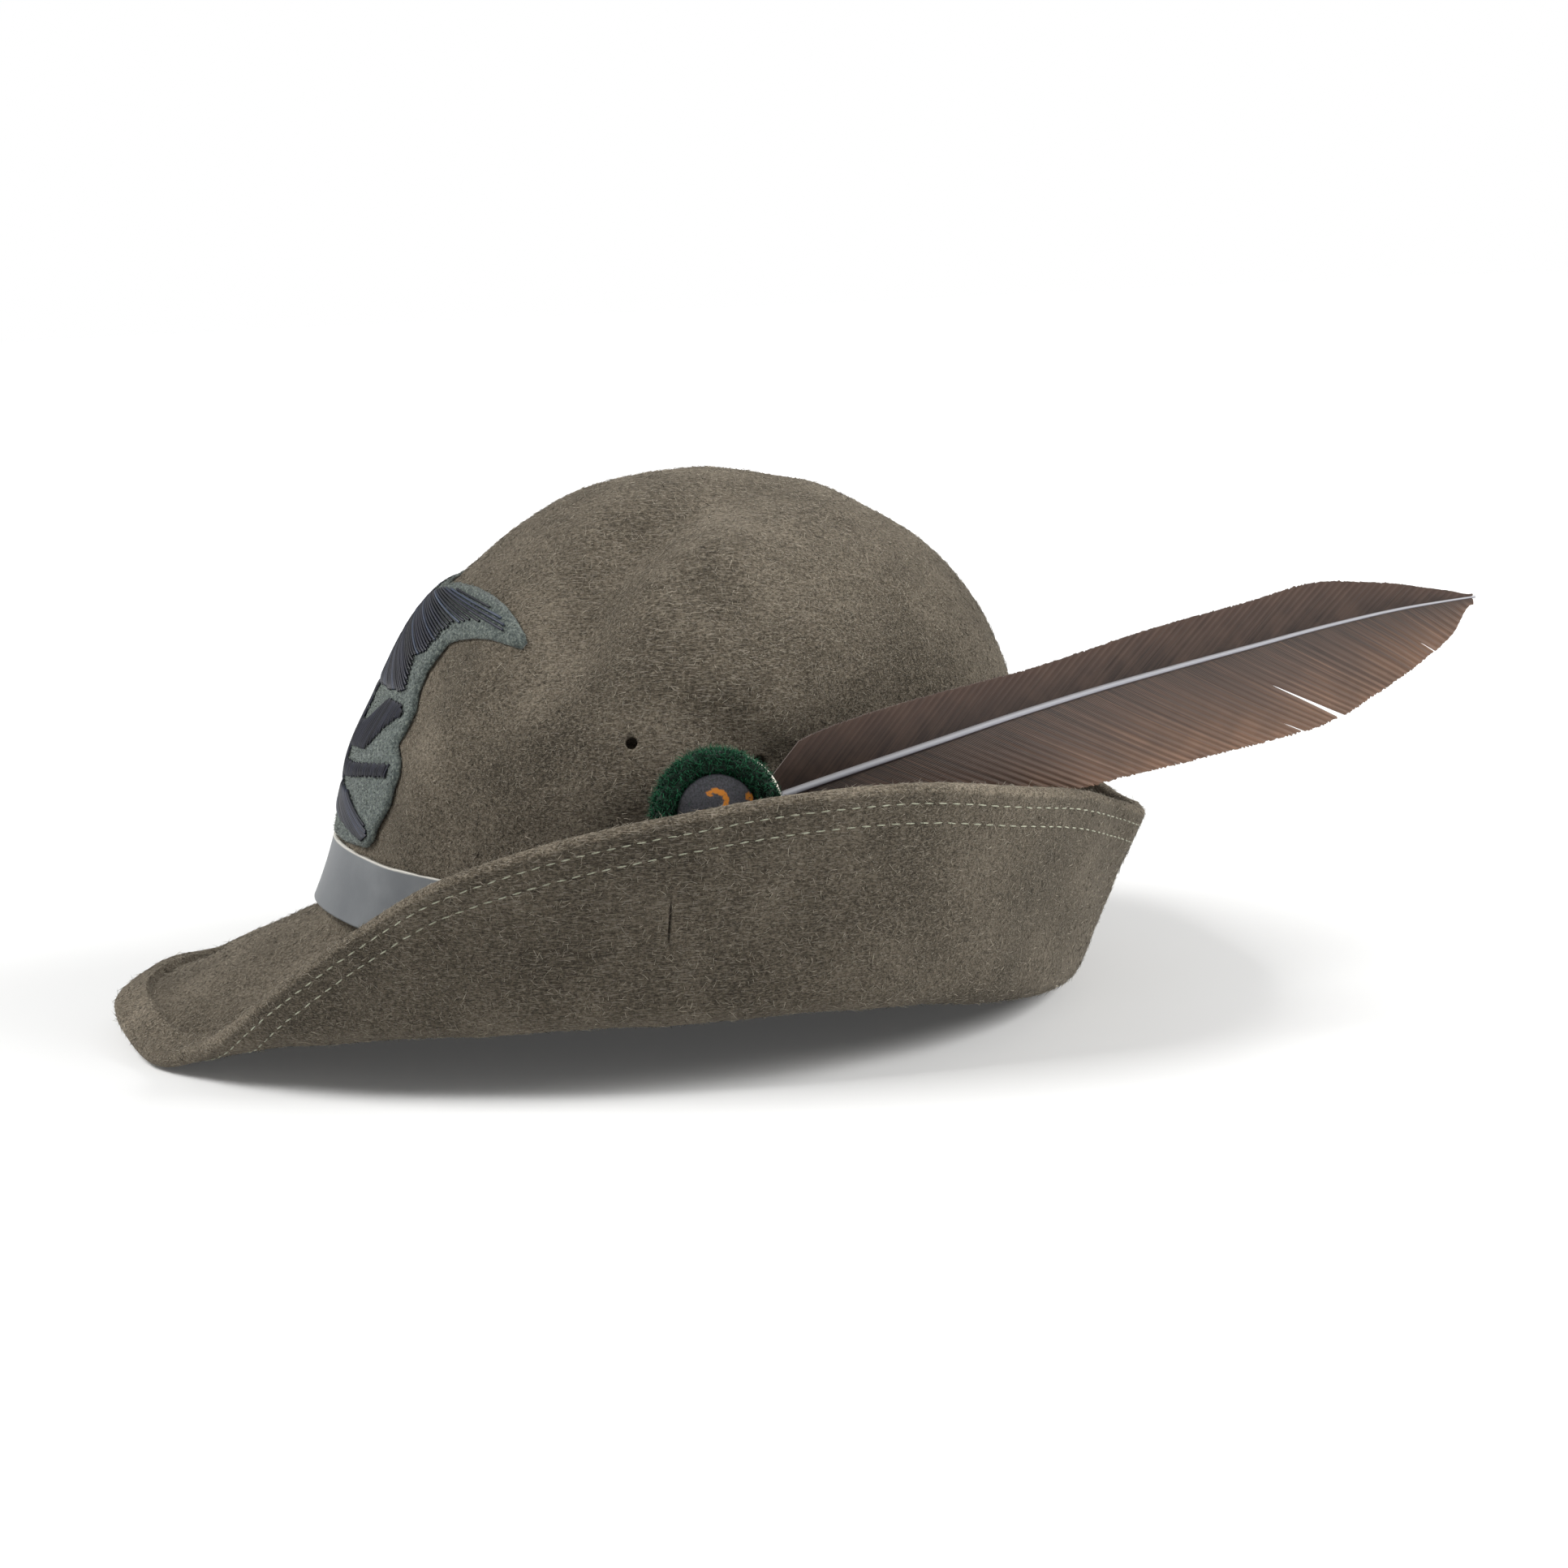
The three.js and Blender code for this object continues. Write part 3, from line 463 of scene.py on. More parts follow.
def linear(code: str) -> tuple[float, float, float, float]:
    """Linear colour of an sRGB hex value."""
    def one(value: int) -> float:
        """One channel, from 0 to 255."""
        v = value / 255
        return v / 12.92 if v <= 0.04045 else ((v + 0.055) / 1.055) ** 2.4
    return tuple(one(int(code[i:i + 2], 16)) for i in (1, 3, 5)) + (1.0,)


def per_metre(size_mm: float) -> float:
    """Texture scale whose features are about this many millimetres across."""
    return 1.0 / (size_mm * MM)


Link = tuple[bpy.types.Node, str | int]


class Board:
    """A node tree, filled node by node."""

    def __init__(self, tree: bpy.types.NodeTree) -> None:
        """Takes the tree to fill."""
        self.tree = tree

    def add(self, kind: str, settings: dict[str | int, object] | None = None,
            links: dict[str | int, Link] | None = None) -> bpy.types.Node:
        """Adds one node.

        Args:
            kind: The node's type name.
            settings: Values of its properties, or of its inputs by name or number.
            links: What feeds its inputs, as (node, output).

        Returns:
            The node.
        """
        node = self.tree.nodes.new(kind)
        for key, value in (settings or {}).items():
            if isinstance(key, str) and hasattr(node, key):
                setattr(node, key, value)
            else:
                node.inputs[key].default_value = value
        for key, (source, output) in (links or {}).items():
            self.tree.links.new(source.outputs[output], node.inputs[key])
        return node

    def math(self, operation: str, first: Link, second: Link) -> Link:
        """Product or quotient of two values."""
        return self.add("ShaderNodeMath", {"operation": operation}, {0: first, 1: second}), 0

    def attribute(self, name: str) -> Link:
        """Number stored on the mesh under a name."""
        return self.add("ShaderNodeAttribute", {"attribute_name": name}), "Fac"

    def noise(self, size_mm: float, **settings: float) -> Link:
        """Noise in the object's own coordinates, with features of about this many millimetres."""
        place = self.add("ShaderNodeTexCoord")
        return self.add("ShaderNodeTexNoise", {"Scale": per_metre(size_mm), **settings},
                        {"Vector": (place, "Object")}), "Fac"

    def streaks(self, width_mm: float, length_mm: float, turn: tuple[float, float, float],
                **settings: float) -> Link:
        """Noise drawn out to streaks.

        Args:
            width_mm: Size of the features across the streaks.
            length_mm: Size along them.
            turn: Angles that turn the streaks from the y axis.
            settings: Other inputs of the noise.

        Returns:
            The noise's value.
        """
        place = self.add("ShaderNodeTexCoord")
        across = per_metre(width_mm)
        lie = self.add("ShaderNodeMapping", {"Rotation": turn, "Scale": (across, per_metre(length_mm), across)},
                       {"Vector": (place, "Object")})
        return self.add("ShaderNodeTexNoise", {"Scale": 1.0, **settings}, {"Vector": (lie, 0)}), "Fac"

    def level(self, source: Link, **sizes: float) -> Link:
        """Value mapped from one range to another, by From_Min, From_Max, To_Min and To_Max."""
        settings = {key.replace("_", " "): value for key, value in sizes.items()}
        return self.add("ShaderNodeMapRange", settings, {"Value": source}), 0

    def ramp(self, source: Link, stops: Sequence[tuple[float, str]]) -> Link:
        """Colour ramp through stops of (place, hex colour)."""
        node = self.add("ShaderNodeValToRGB", links={0: source})
        band = node.color_ramp.elements
        while len(band) < len(stops):
            band.new(0.5)
        for element, (place, code) in zip(band, stops):
            element.position = place
            element.color = linear(code)
        return node, "Color"

    def mix(self, tone: Link, code: str, share: Link) -> Link:
        """Tone that goes over to a hex colour by a share."""
        return self.add("ShaderNodeMix", {"data_type": "RGBA", 7: linear(code)}, {0: share, 6: tone}), 2

    def bump(self, height: Link, strength: float, distance_mm: float) -> Link:
        """Fine relief from a height."""
        return self.add("ShaderNodeBump", {"Strength": strength, "Distance": distance_mm * MM}, {"Height": height}), 0

    def chance(self, low: float, high: float, seed: int) -> Link:
        """Random number for each element of a geometry tree."""
        return self.add("FunctionNodeRandomValue", {"data_type": "FLOAT", 2: low, 3: high, "Seed": seed}), 1

    def turned(self, points: bpy.types.Node, angles: dict[str, Link]) -> Link:
        """Rotation of points, turned further about their own axes by the angles X, Y and Z."""
        euler = self.add("ShaderNodeCombineXYZ", links=angles)
        by = self.add("FunctionNodeEulerToRotation", links={0: (euler, 0)})
        return self.add("FunctionNodeRotateRotation", {"rotation_space": "LOCAL"},
                        {0: (points, "Rotation"), 1: (by, 0)}), 0

    def copies(self, points: bpy.types.Node, shape: bpy.types.Node, turn: Link, scale: Link) -> bpy.types.Node:
        """Copies of a shape on points, not yet realized."""
        return self.add("GeometryNodeInstanceOnPoints", links={
            "Points": (points, 0), "Instance": (shape, 0), "Rotation": turn, "Scale": scale})


class Surface(Board):
    """A material with one Principled shader, and the nodes that feed it."""

    def __init__(self, name: str, roughness: float, **sockets: object) -> None:
        """Makes the material.

        Args:
            name: The material's plain name.
            roughness: Of the shader.
            sockets: Other inputs of the shader, with _ for each space.
        """
        self.material = bpy.data.materials.new(name)
        self.material.use_nodes = True
        self.material.node_tree.nodes.clear()
        super().__init__(self.material.node_tree)
        self.shader = self.add("ShaderNodeBsdfPrincipled", {"Roughness": roughness})
        for key, value in sockets.items():
            self.shader.inputs[key.replace("_", " ")].default_value = value
        self.add("ShaderNodeOutputMaterial", links={"Surface": (self.shader, "BSDF")})

    def fed(self, **links: Link) -> bpy.types.Material:
        """Links inputs of the shader, with _ for each space, and gives the finished material."""
        for key, (node, output) in links.items():
            self.tree.links.new(node.outputs[output], self.shader.inputs[key.replace("_", " ")])
        return self.material


@dataclass(frozen=True)
class HairFelt:
    """Pressed hair felt: matt, mottled, with pale and dark hairs lying every way."""

    name: str = "hair_felt"
    dark: str = "#2b261e"
    middle: str = "#544c40"
    pale: str = "#83796a"
    mottle_mm: float = 26.0
    grain_mm: float = 0.85
    hair_mm: tuple[float, float] = (0.32, 2.4)
    lies: tuple[tuple[tuple[float, float, float], float, str], ...] = (
        ((0.5, 0.2, 0.9), 0.65, "#948b7a"), ((1.3, 0.8, 2.2), 0.65, "#8c8372"),
        ((2.1, 1.7, 0.3), 0.6, "#a0978a"), ((0.2, 2.5, 1.4), 0.8, "#211c15"))

    def build(self) -> bpy.types.Material:
        """Makes the material; a per-vertex attribute paints highlight where it is above 0 and shade where it is below,
        and "cut" paints shade into the slit.
        """
        surface = Surface(self.name, 0.95, Sheen_Weight=0.25, Sheen_Roughness=0.6,
                          Sheen_Tint=linear("#b3aa9a"), Specular_IOR_Level=0.2)
        mottle = surface.noise(self.mottle_mm, Detail=3.0)
        grain = surface.noise(self.grain_mm, Detail=4.0, Roughness=0.75)
        height = grain
        mixed = surface.add("ShaderNodeMix", {"data_type": "FLOAT", 0: 0.3}, {2: grain, 3: mottle})
        tone = surface.ramp((mixed, 0), ((0.38, self.dark), (0.5, self.middle), (0.62, self.pale)))
        for turn, strength, code in self.lies:
            hair = surface.streaks(*self.hair_mm, turn, Detail=2.0, Distortion=0.6)
            share = surface.level(hair, From_Min=0.58, From_Max=0.66, To_Max=strength)
            tone = surface.mix(tone, code, share)
            height = (surface.add("ShaderNodeMath", {"operation": "MULTIPLY_ADD", 1: 0.5}, {0: share, 2: height}), 0)
        # Painted shade on the brim's outer face and painted highlight on the hem strip and rolled edge
        bright = surface.level(surface.attribute("age"), From_Min=-1.0, To_Min=0.74, To_Max=1.2)
        painted_light_tone = surface.add("ShaderNodeVectorMath", {"operation": "SCALE"}, {0: tone, "Scale": bright})
        # Painted shade: the slit's mask darkens the felt inside the slit
        slit_painted_shade = surface.mix((painted_light_tone, 0), "#221c15", surface.attribute("cut"))
        return surface.fed(Base_Color=slit_painted_shade, Normal=surface.bump(height, 0.8, 0.45))


@dataclass(frozen=True)
class HairFibre:
    """Loose hair of a felt or wool: each hair has its own tone, read from its "tone" attribute."""

    name: str
    dark: str
    pale: str

    def build(self) -> bpy.types.Material:
        """Makes the material."""
        surface = Surface(self.name, 0.7, Specular_IOR_Level=0.3)
        return surface.fed(Base_Color=surface.ramp(surface.attribute("tone"), ((0.0, self.dark), (1.0, self.pale))))


@dataclass(frozen=True)
class GrainLeather:
    """Finished grey leather: smooth, fine pores, with a pale raw upper edge."""

    name: str = "grain_leather"
    body: str = "#606366"
    worn: str = "#6c6f71"
    raw: str = "#c9c6bd"
    cloud_mm: float = 9.0
    pore_mm: float = 0.5

    def build(self) -> bpy.types.Material:
        """Makes the material; the "raw" attribute is 1 on the cut edge."""
        surface = Surface(self.name, 0.42, Specular_IOR_Level=0.5)
        cloud = surface.noise(self.cloud_mm, Detail=4.0)
        place = surface.add("ShaderNodeTexCoord")
        pores = surface.add("ShaderNodeTexVoronoi", {"Scale": per_metre(self.pore_mm)}, {"Vector": (place, "Object")})
        colour = surface.ramp(cloud, ((0.35, self.body), (0.7, self.worn)))
        return surface.fed(Base_Color=surface.mix(colour, self.raw, surface.attribute("raw")),
                           Roughness=surface.level(cloud, To_Min=0.38, To_Max=0.6),
                           Normal=surface.bump((pores, "Distance"), 0.25, 0.1))


@dataclass(frozen=True)
class MottledCloth:
    """Dull cloth in three tones with a fine fibrous grain, for the badge, the wool's ground and the stitches."""

    name: str
    dark: str
    middle: str
    pale: str
    grain_mm: float
    roughness: float = 0.95
    bump_mm: float = 0.15
    sheen: float = 0.2

    def build(self) -> bpy.types.Material:
        """Makes the material."""
        surface = Surface(self.name, self.roughness, Sheen_Weight=self.sheen, Specular_IOR_Level=0.25)
        grain = surface.noise(self.grain_mm, Detail=5.0, Roughness=0.7)
        colour = surface.ramp(grain, ((0.3, self.dark), (0.5, self.middle), (0.7, self.pale)))
        return surface.fed(Base_Color=colour, Normal=surface.bump(grain, 0.6, self.bump_mm))


@dataclass(frozen=True)
class ToneThread:
    """Glossy thread or barb whose tone is read from its "tone" attribute, with blotches of another colour."""

    name: str
    stops: tuple[tuple[float, str], ...]
    roughness: float
    blotch_mm: float
    blotch: str
    blotch_share: float = 0.5

    def build(self) -> bpy.types.Material:
        """Makes the material."""
        surface = Surface(self.name, self.roughness, Specular_IOR_Level=0.45)
        colour = surface.ramp(surface.attribute("tone"), self.stops)
        share = surface.level(surface.noise(self.blotch_mm, Detail=3.0), From_Min=0.45, From_Max=0.7,
                              To_Max=self.blotch_share)
        return surface.fed(Base_Color=surface.mix(colour, self.blotch, share))


@dataclass(frozen=True)
class HornShaft:
    """Horn of the feather's shaft, with a painted highlight in grey-white along its upper side, darkening to a dark
    line along the lower side where the broad vane joins.
    """

    name: str = "feather_horn_painted_light"
    stops: tuple[tuple[float, str], ...] = (
        (0.0, "#2d2321"), (0.30, "#3c3231"), (0.42, "#8e8e96"), (0.75, "#b3b3b8"), (1.0, "#8a8788"))

    def build(self) -> bpy.types.Material:
        """Makes the material; the "tone" attribute runs around the shaft, from the dark lower side to the painted
        highlight on the upper side.
        """
        surface = Surface(self.name, 0.4)
        return surface.fed(Base_Color=surface.ramp(surface.attribute("tone"), self.stops))


@dataclass(frozen=True)
class PaintedDisc:
    """Dark grey painted disc with worn flecks of an old orange stroke."""

    name: str = "painted_disc"
    dark: str = "#38383c"
    pale: str = "#54545a"
    fleck: str = "#d9882c"
    grain_mm: float = 0.5
    wear_mm: float = 1.4

    def build(self) -> bpy.types.Material:
        """Makes the material; the "mark" attribute is 1 inside the painted stroke."""
        surface = Surface(self.name, 0.6, Specular_IOR_Level=0.4)
        grain = surface.noise(self.grain_mm, Detail=4.0)
        ground = surface.ramp(grain, ((0.35, self.dark), (0.65, self.pale)))
        left = surface.level(surface.noise(self.wear_mm, Detail=5.0, Roughness=0.7), From_Min=0.40, From_Max=0.46)
        share = surface.math("MULTIPLY", left, surface.attribute("mark"))
        return surface.fed(Base_Color=surface.mix(ground, self.fleck, share), Normal=surface.bump(grain, 0.3, 0.08))


@dataclass(frozen=True)
class DullMetal:
    """Plain dull metal with fine scratches, for the plate and sleeve behind the pompom."""

    name: str
    body: str
    scratch: str = "#8d8a84"

    def build(self) -> bpy.types.Material:
        """Makes the material."""
        surface = Surface(self.name, 0.45, Metallic=1.0)
        marks = surface.streaks(0.3, 6.0, (0.0, 0.0, 0.0), Detail=3.0)
        return surface.fed(Base_Color=surface.ramp(marks, ((0.3, self.scratch), (0.7, self.body))),
                           Roughness=surface.level(marks, To_Min=0.35, To_Max=0.6))


@dataclass(frozen=True)
class LightTable:
    """Opal acrylic table whose glow grows with the distance from the hat, which keeps the floor pale."""

    name: str = "opal_floor"
    body: str = "#e9e9e8"
    pale: str = "#ededec"
    cloud_mm: float = 300.0
    near_glow: float = 0.05
    far_glow: float = 0.75
    near: float = 0.14
    far: float = 1.1

    def build(self) -> bpy.types.Material:
        """Makes the material."""
        surface = Surface(self.name, 0.8, Specular_IOR_Level=0.1, Emission_Color=(1.0, 1.0, 1.0, 1.0))
        colour = surface.ramp(surface.noise(self.cloud_mm), ((0.3, self.body), (0.7, self.pale)))
        place = surface.add("ShaderNodeTexCoord")
        reach = surface.add("ShaderNodeVectorMath", {"operation": "LENGTH"}, {0: (place, "Object")})
        glow = surface.add("ShaderNodeMapRange", {
            "interpolation_type": "SMOOTHSTEP", "From Min": self.near, "From Max": self.far,
            "To Min": self.near_glow, "To Max": self.far_glow}, {"Value": (reach, "Value")})
        return surface.fed(Base_Color=colour, Emission_Strength=(glow, 0))


# Geometry trees

class Tree(Enum):
    """Kinds of repeated detail that a geometry tree lays on a source."""

    HAIRS = "hairs"
    STITCHES = "stitches"
    THREADS = "threads"


@dataclass(frozen=True)
class Sowing:
    """One sowing of hairs: sizes in millimetres, leans in radians, density for each square metre."""

    density: float
    length: float
    radius: float
    bend: float
    lift: float
    least_lean: float
    most_lean: float
    segments: int
    seed: int

    def sizes(self) -> dict[str, float]:
        """Named inputs of the hair tree."""
        return {"Density": self.density, "Length": self.length * MM, "Radius": self.radius * MM,
                "Bend": self.bend * MM, "Lift": self.lift * MM, "Least lean": self.least_lean,
                "Most lean": self.most_lean, "Segments": self.segments, "Seed": self.seed}


def new_tree(kind: Tree, sizes: dict[str, float], material: bpy.types.Material) -> bpy.types.NodeTree:
    """Geometry tree of one kind.

    Args:
        kind: What the tree makes.
        sizes: Named inputs and their default values.
        material: Finish that the tree sets.

    Returns:
        The tree; each size is an input under its own name.
    """
    tree = bpy.data.node_groups.new(kind.value, "GeometryNodeTree")
    tree.interface.new_socket("Geometry", in_out="INPUT", socket_type="NodeSocketGeometry")
    for name, value in sizes.items():
        socket = tree.interface.new_socket(
            name, in_out="INPUT", socket_type="NodeSocketInt" if isinstance(value, int) else "NodeSocketFloat")
        socket.default_value = value
    tree.interface.new_socket("Geometry", in_out="OUTPUT", socket_type="NodeSocketGeometry")
    board = Board(tree)
    given = board.add("NodeGroupInput")
    made = {Tree.HAIRS: hairs, Tree.STITCHES: stitches, Tree.THREADS: threads}[kind](board, given)
    whole = board.add("GeometryNodeRealizeInstances", links={0: made})
    finish = board.add("GeometryNodeSetMaterial", {"Material": material}, {"Geometry": (whole, 0)})
    board.add("NodeGroupOutput", links={0: (finish, 0)})
    return tree


def hairs(board: Board, given: bpy.types.Node) -> Link:
    """Short bent hairs scattered where the source's "fuzz" attribute is high, lying every way.

    Args:
        board: Board to fill.
        given: Its input node.

    Returns:
        The hairs, each with its own "tone".
    """
    thick = board.add("GeometryNodeInputNamedAttribute", {"data_type": "FLOAT", "Name": "fuzz"})
    points = board.add("GeometryNodeDistributePointsOnFaces", {"distribute_method": "RANDOM"}, {
        "Mesh": (given, 0), "Density": board.math("MULTIPLY", (thick, 0), (given, "Density")),
        "Seed": (given, "Seed")})
    lean = board.add("FunctionNodeRandomValue", {"data_type": "FLOAT", "Seed": 11},
                     {2: (given, "Least lean"), 3: (given, "Most lean")})
    turn = board.turned(points, {"X": (lean, 1), "Z": board.chance(0.0, 2 * math.pi, 12)})
    cone = board.add("GeometryNodeMeshCone", {"Vertices": 3, "Radius Top": 0.0},
                     {"Side Segments": (given, "Segments"), "Radius Bottom": (given, "Radius"),
                      "Depth": (given, "Length")})
    place = board.add("GeometryNodeInputPosition")
    height = board.add("ShaderNodeSeparateXYZ", links={0: (place, 0)})
    share = board.math("DIVIDE", (height, "Z"), (given, "Length"))
    square = board.math("MULTIPLY", share, share)
    offset = board.add("ShaderNodeCombineXYZ", links={
        "X": board.math("MULTIPLY", square, (given, "Bend")), "Y": board.math("MULTIPLY", square, (given, "Lift"))})
    blade = board.add("GeometryNodeSetPosition", links={"Geometry": (cone, 0), "Offset": (offset, 0)})
    scale = board.add("ShaderNodeCombineXYZ", {"X": 1.0, "Y": 1.0}, {"Z": board.chance(0.35, 1.0, 13)})
    placed = board.copies(points, blade, turn, (scale, 0))
    toned = board.add("GeometryNodeStoreNamedAttribute", {"data_type": "FLOAT", "domain": "INSTANCE", "Name": "tone"},
                      {"Geometry": (placed, 0), "Value": board.chance(0.0, 1.0, 14)})
    return toned, 0


def stitches(board: Board, given: bpy.types.Node) -> Link:
    """Short stitches at even steps along the source's lines.

    Args:
        board: Board to fill.
        given: Its input node.

    Returns:
        The stitches.
    """
    line = board.add("GeometryNodeMeshToCurve", links={0: (given, 0)})
    points = board.add("GeometryNodeCurveToPoints", {"mode": "LENGTH"}, {0: (line, 0), "Length": (given, "Pitch")})
    tilt = board.add("FunctionNodeRandomValue", {"data_type": "FLOAT", 2: -0.09, 3: 0.09}, {"Seed": (given, "Seed")})
    turn = board.turned(points, {"X": (tilt, 1), "Y": board.chance(-0.09, 0.09, 5)})
    ball = board.add("GeometryNodeMeshUVSphere", {"Segments": 6, "Rings": 6, "Radius": 1.0})
    half = board.add("ShaderNodeMath", {"operation": "MULTIPLY", 1: 0.5}, {0: (given, "Length")})
    size = board.add("ShaderNodeCombineXYZ", links={"X": (given, "Radius"), "Y": (given, "Radius"), "Z": (half, 0)})
    return board.copies(points, ball, turn, (size, 0)), 0


def threads(board: Board, given: bpy.types.Node) -> Link:
    """A round thread along each of the source's lines, made slimmer by its "slim" attribute.

    Args:
        board: Board to fill.
        given: Its input node.

    Returns:
        The threads.
    """
    line = board.add("GeometryNodeMeshToCurve", links={0: (given, 0)})
    slim = board.add("GeometryNodeInputNamedAttribute", {"data_type": "FLOAT", "Name": "slim"})
    sized = board.add("GeometryNodeSetCurveRadius", links={0: (line, 0), "Radius": (slim, 0)})
    sides = board.add("GeometryNodeCurvePrimitiveCircle",
                      links={"Resolution": (given, "Sides"), "Radius": (given, "Radius")})
    return board.add("GeometryNodeCurveToMesh", {"Fill Caps": True}, {0: (sized, 0), 1: (sides, 0)}), 0


def finished_mesh(source: bpy.types.Object) -> bpy.types.Mesh:
    """Plain mesh of an object with its modifiers applied."""
    bpy.context.view_layer.update()
    graph = bpy.context.evaluated_depsgraph_get()
    return bpy.data.meshes.new_from_object(source.evaluated_get(graph), preserve_all_data_layers=True, depsgraph=graph)


def grow(name: str, source: bpy.types.Object, kind: Tree, sizes: dict[str, float],
         material: bpy.types.Material) -> bpy.types.Object:
    """Plain mesh that a geometry tree makes on a source object.

    Args:
        name: The new piece's name.
        source: Mesh that carries the tree while it runs.
        kind: What the tree makes.
        sizes: Named inputs of the tree.
        material: Finish of the new piece.

    Returns:
        The new object, with no modifier.
    """
    tree = new_tree(kind, sizes, material)
    modifier = source.modifiers.new(kind.value, "NODES")
    modifier.node_group = tree
    for item in tree.interface.items_tree:
        if item.item_type == "SOCKET" and item.in_out == "INPUT" and item.name in sizes:
            modifier[item.identifier] = sizes[item.name]
    mesh = finished_mesh(source)
    mesh.name = name
    mesh.shade_smooth()
    source.modifiers.remove(modifier)
    piece = bpy.data.objects.new(name, mesh)
    bpy.context.scene.collection.objects.link(piece)
    return piece


def drop(piece: bpy.types.Object) -> None:
    """Deletes a helper object that only carried lines or density."""
    mesh = piece.data
    bpy.data.objects.remove(piece)
    bpy.data.meshes.remove(mesh)


def fix_normals(piece: bpy.types.Object) -> None:
    """Turns a closed mesh's faces outwards."""
    work = bmesh.new()
    work.from_mesh(piece.data)
    bmesh.ops.remove_doubles(work, verts=work.verts, dist=1e-6)
    bmesh.ops.recalc_face_normals(work, faces=work.faces)
    work.to_mesh(piece.data)
    work.free()


@dataclass
class FeltBody:
    """Felt crown and brim in one piece, with its hem, vents, slit, stitches and loose hairs."""

    form: HatForm
    columns: int = 288
    dome_rows: int = 58
    wall_rows: int = 16
    brim_rows: int = 44
    lump: float = 0.32
    slit_station: float = 89.0
    slit_low: float = 24.0
    slit_high: float = 36.5
    stitch_rows: tuple[float, float] = (5.3, 11.0)
    stitch_pitch: float = 4.3
    stitch_length: float = 2.7
    stitch_radius: float = 0.22
    stitch_proud: float = 0.06
    peak_end: float = 48.0
    peak_sink: float = 0.3
    top_lift: float = 89.4
    crowding: float = 0.92
    bend_shares: tuple[float, ...] = (0.2, 0.4, 0.6, 0.8)
    hem_rows: int = 14
    hem_step: float = 0.9
    slit_columns: tuple[float, ...] = (-0.55, -0.36, -0.24, -0.12, 0, 0.12, 0.24, 0.36, 0.55)
    slit_clear: float = 0.62
    slit_width: float = 0.13
    slit_depth: float = 1.1
    bare_height: float = 3.5
    nap: tuple[tuple[str, Sowing], ...] = (
        ("felt_nap", Sowing(0.21e6, 2.4, 0.1, 0.25 * 2.4, 0.07 * 2.4, 1.2, 1.5, 1, 21)),
        ("felt_hairs", Sowing(0.075e6, 3.8, 0.11, 0.25 * 3.8, 0.07 * 3.8, 1.38, 1.54, 2, 22)))

    def __post_init__(self) -> None:
        """Lays out the stations: even, and closer together at the slit."""
        even = np.arange(self.columns) * 360 / self.columns
        near = self.slit_station + np.array(self.slit_columns)
        keep = np.abs(even - self.slit_station) > self.slit_clear
        self.stations = np.sort(np.concatenate([even[keep], near]))

    def middle(self) -> tuple[np.ndarray, np.ndarray, BrimSection, int]:
        """Middle of the felt.

        Returns:
            The grid, the distance of each brim row, the sections, and the first brim row's number.
        """
        form, s = self.form, self.stations
        lifts = self.top_lift - self.top_lift * (np.arange(self.dome_rows) / (self.dome_rows - 1)) ** self.crowding
        dome = form.crown(s[None, :], lifts[:, None], -FELT / 2)
        foot, _ = form.opening(s)
        rim = dome[-1]
        up = unit(rim - foot)
        top = foot + up * WALL_FOOT
        share = (np.arange(1, self.wall_rows + 1) / self.wall_rows)[:, None, None]
        wall = rim + (top - rim) * share
        section = BrimSection(form, s)
        start = section.at(np.full((1, len(s)), WALL_FOOT))[0]
        bends = [(1 - u) ** 2 * top + 2 * u * (1 - u) * (foot + 0.1 * up) + u**2 * start for u in self.bend_shares]
        edge = section.length - FELT
        hem = section.length - HEM_WIDTH
        shares = np.linspace(0, 1, self.brim_rows)[:, None]
        before = WALL_FOOT + (hem - WALL_FOOT) * shares
        hem_shares = np.linspace(0, 1, self.hem_rows + 1)[1:, None]
        after = hem + (edge - hem) * hem_shares
        distance = np.concatenate([before, after])
        grid = np.concatenate([dome, wall, np.stack(bends), section.at(distance)])
        return grid, distance, section, len(grid) - len(distance)

    def lumps(self, points: np.ndarray) -> np.ndarray:
        """Uneven height of worn felt at points of its middle."""
        return self.lump * (waves(points, 34.0, 3) + 0.4 * waves(points, 12.0, 4))

    def build(self, material: bpy.types.Material) -> bpy.types.Object:
        """Makes the felt mesh.

        Args:
            material: The felt's finish.

        Returns:
            The piece.
        """
        grid, distance, section, first = self.middle()
        normals = grid_normals(grid)
        grid = grid + normals * self.lumps(grid)[..., None]
        hem = np.clip((distance - (section.length - HEM_WIDTH)) / self.hem_step, 0, 1)
        hem = hem * hem * (3 - 2 * hem)
        step = np.zeros(grid.shape[:2])
        step[first:] = hem * FELT
        outside = grid + normals * (FELT / 2 + step)[..., None]
        inside = grid - normals * (FELT / 2)
        outward = unit(grid[-1] - grid[-2])
        turn = []
        for angle in np.radians(np.arange(20, 180, 20)):
            turn.append(grid[-1] + normals[-1] * (FELT / 2 + FELT * math.cos(angle)) + outward * FELT * math.sin(angle))
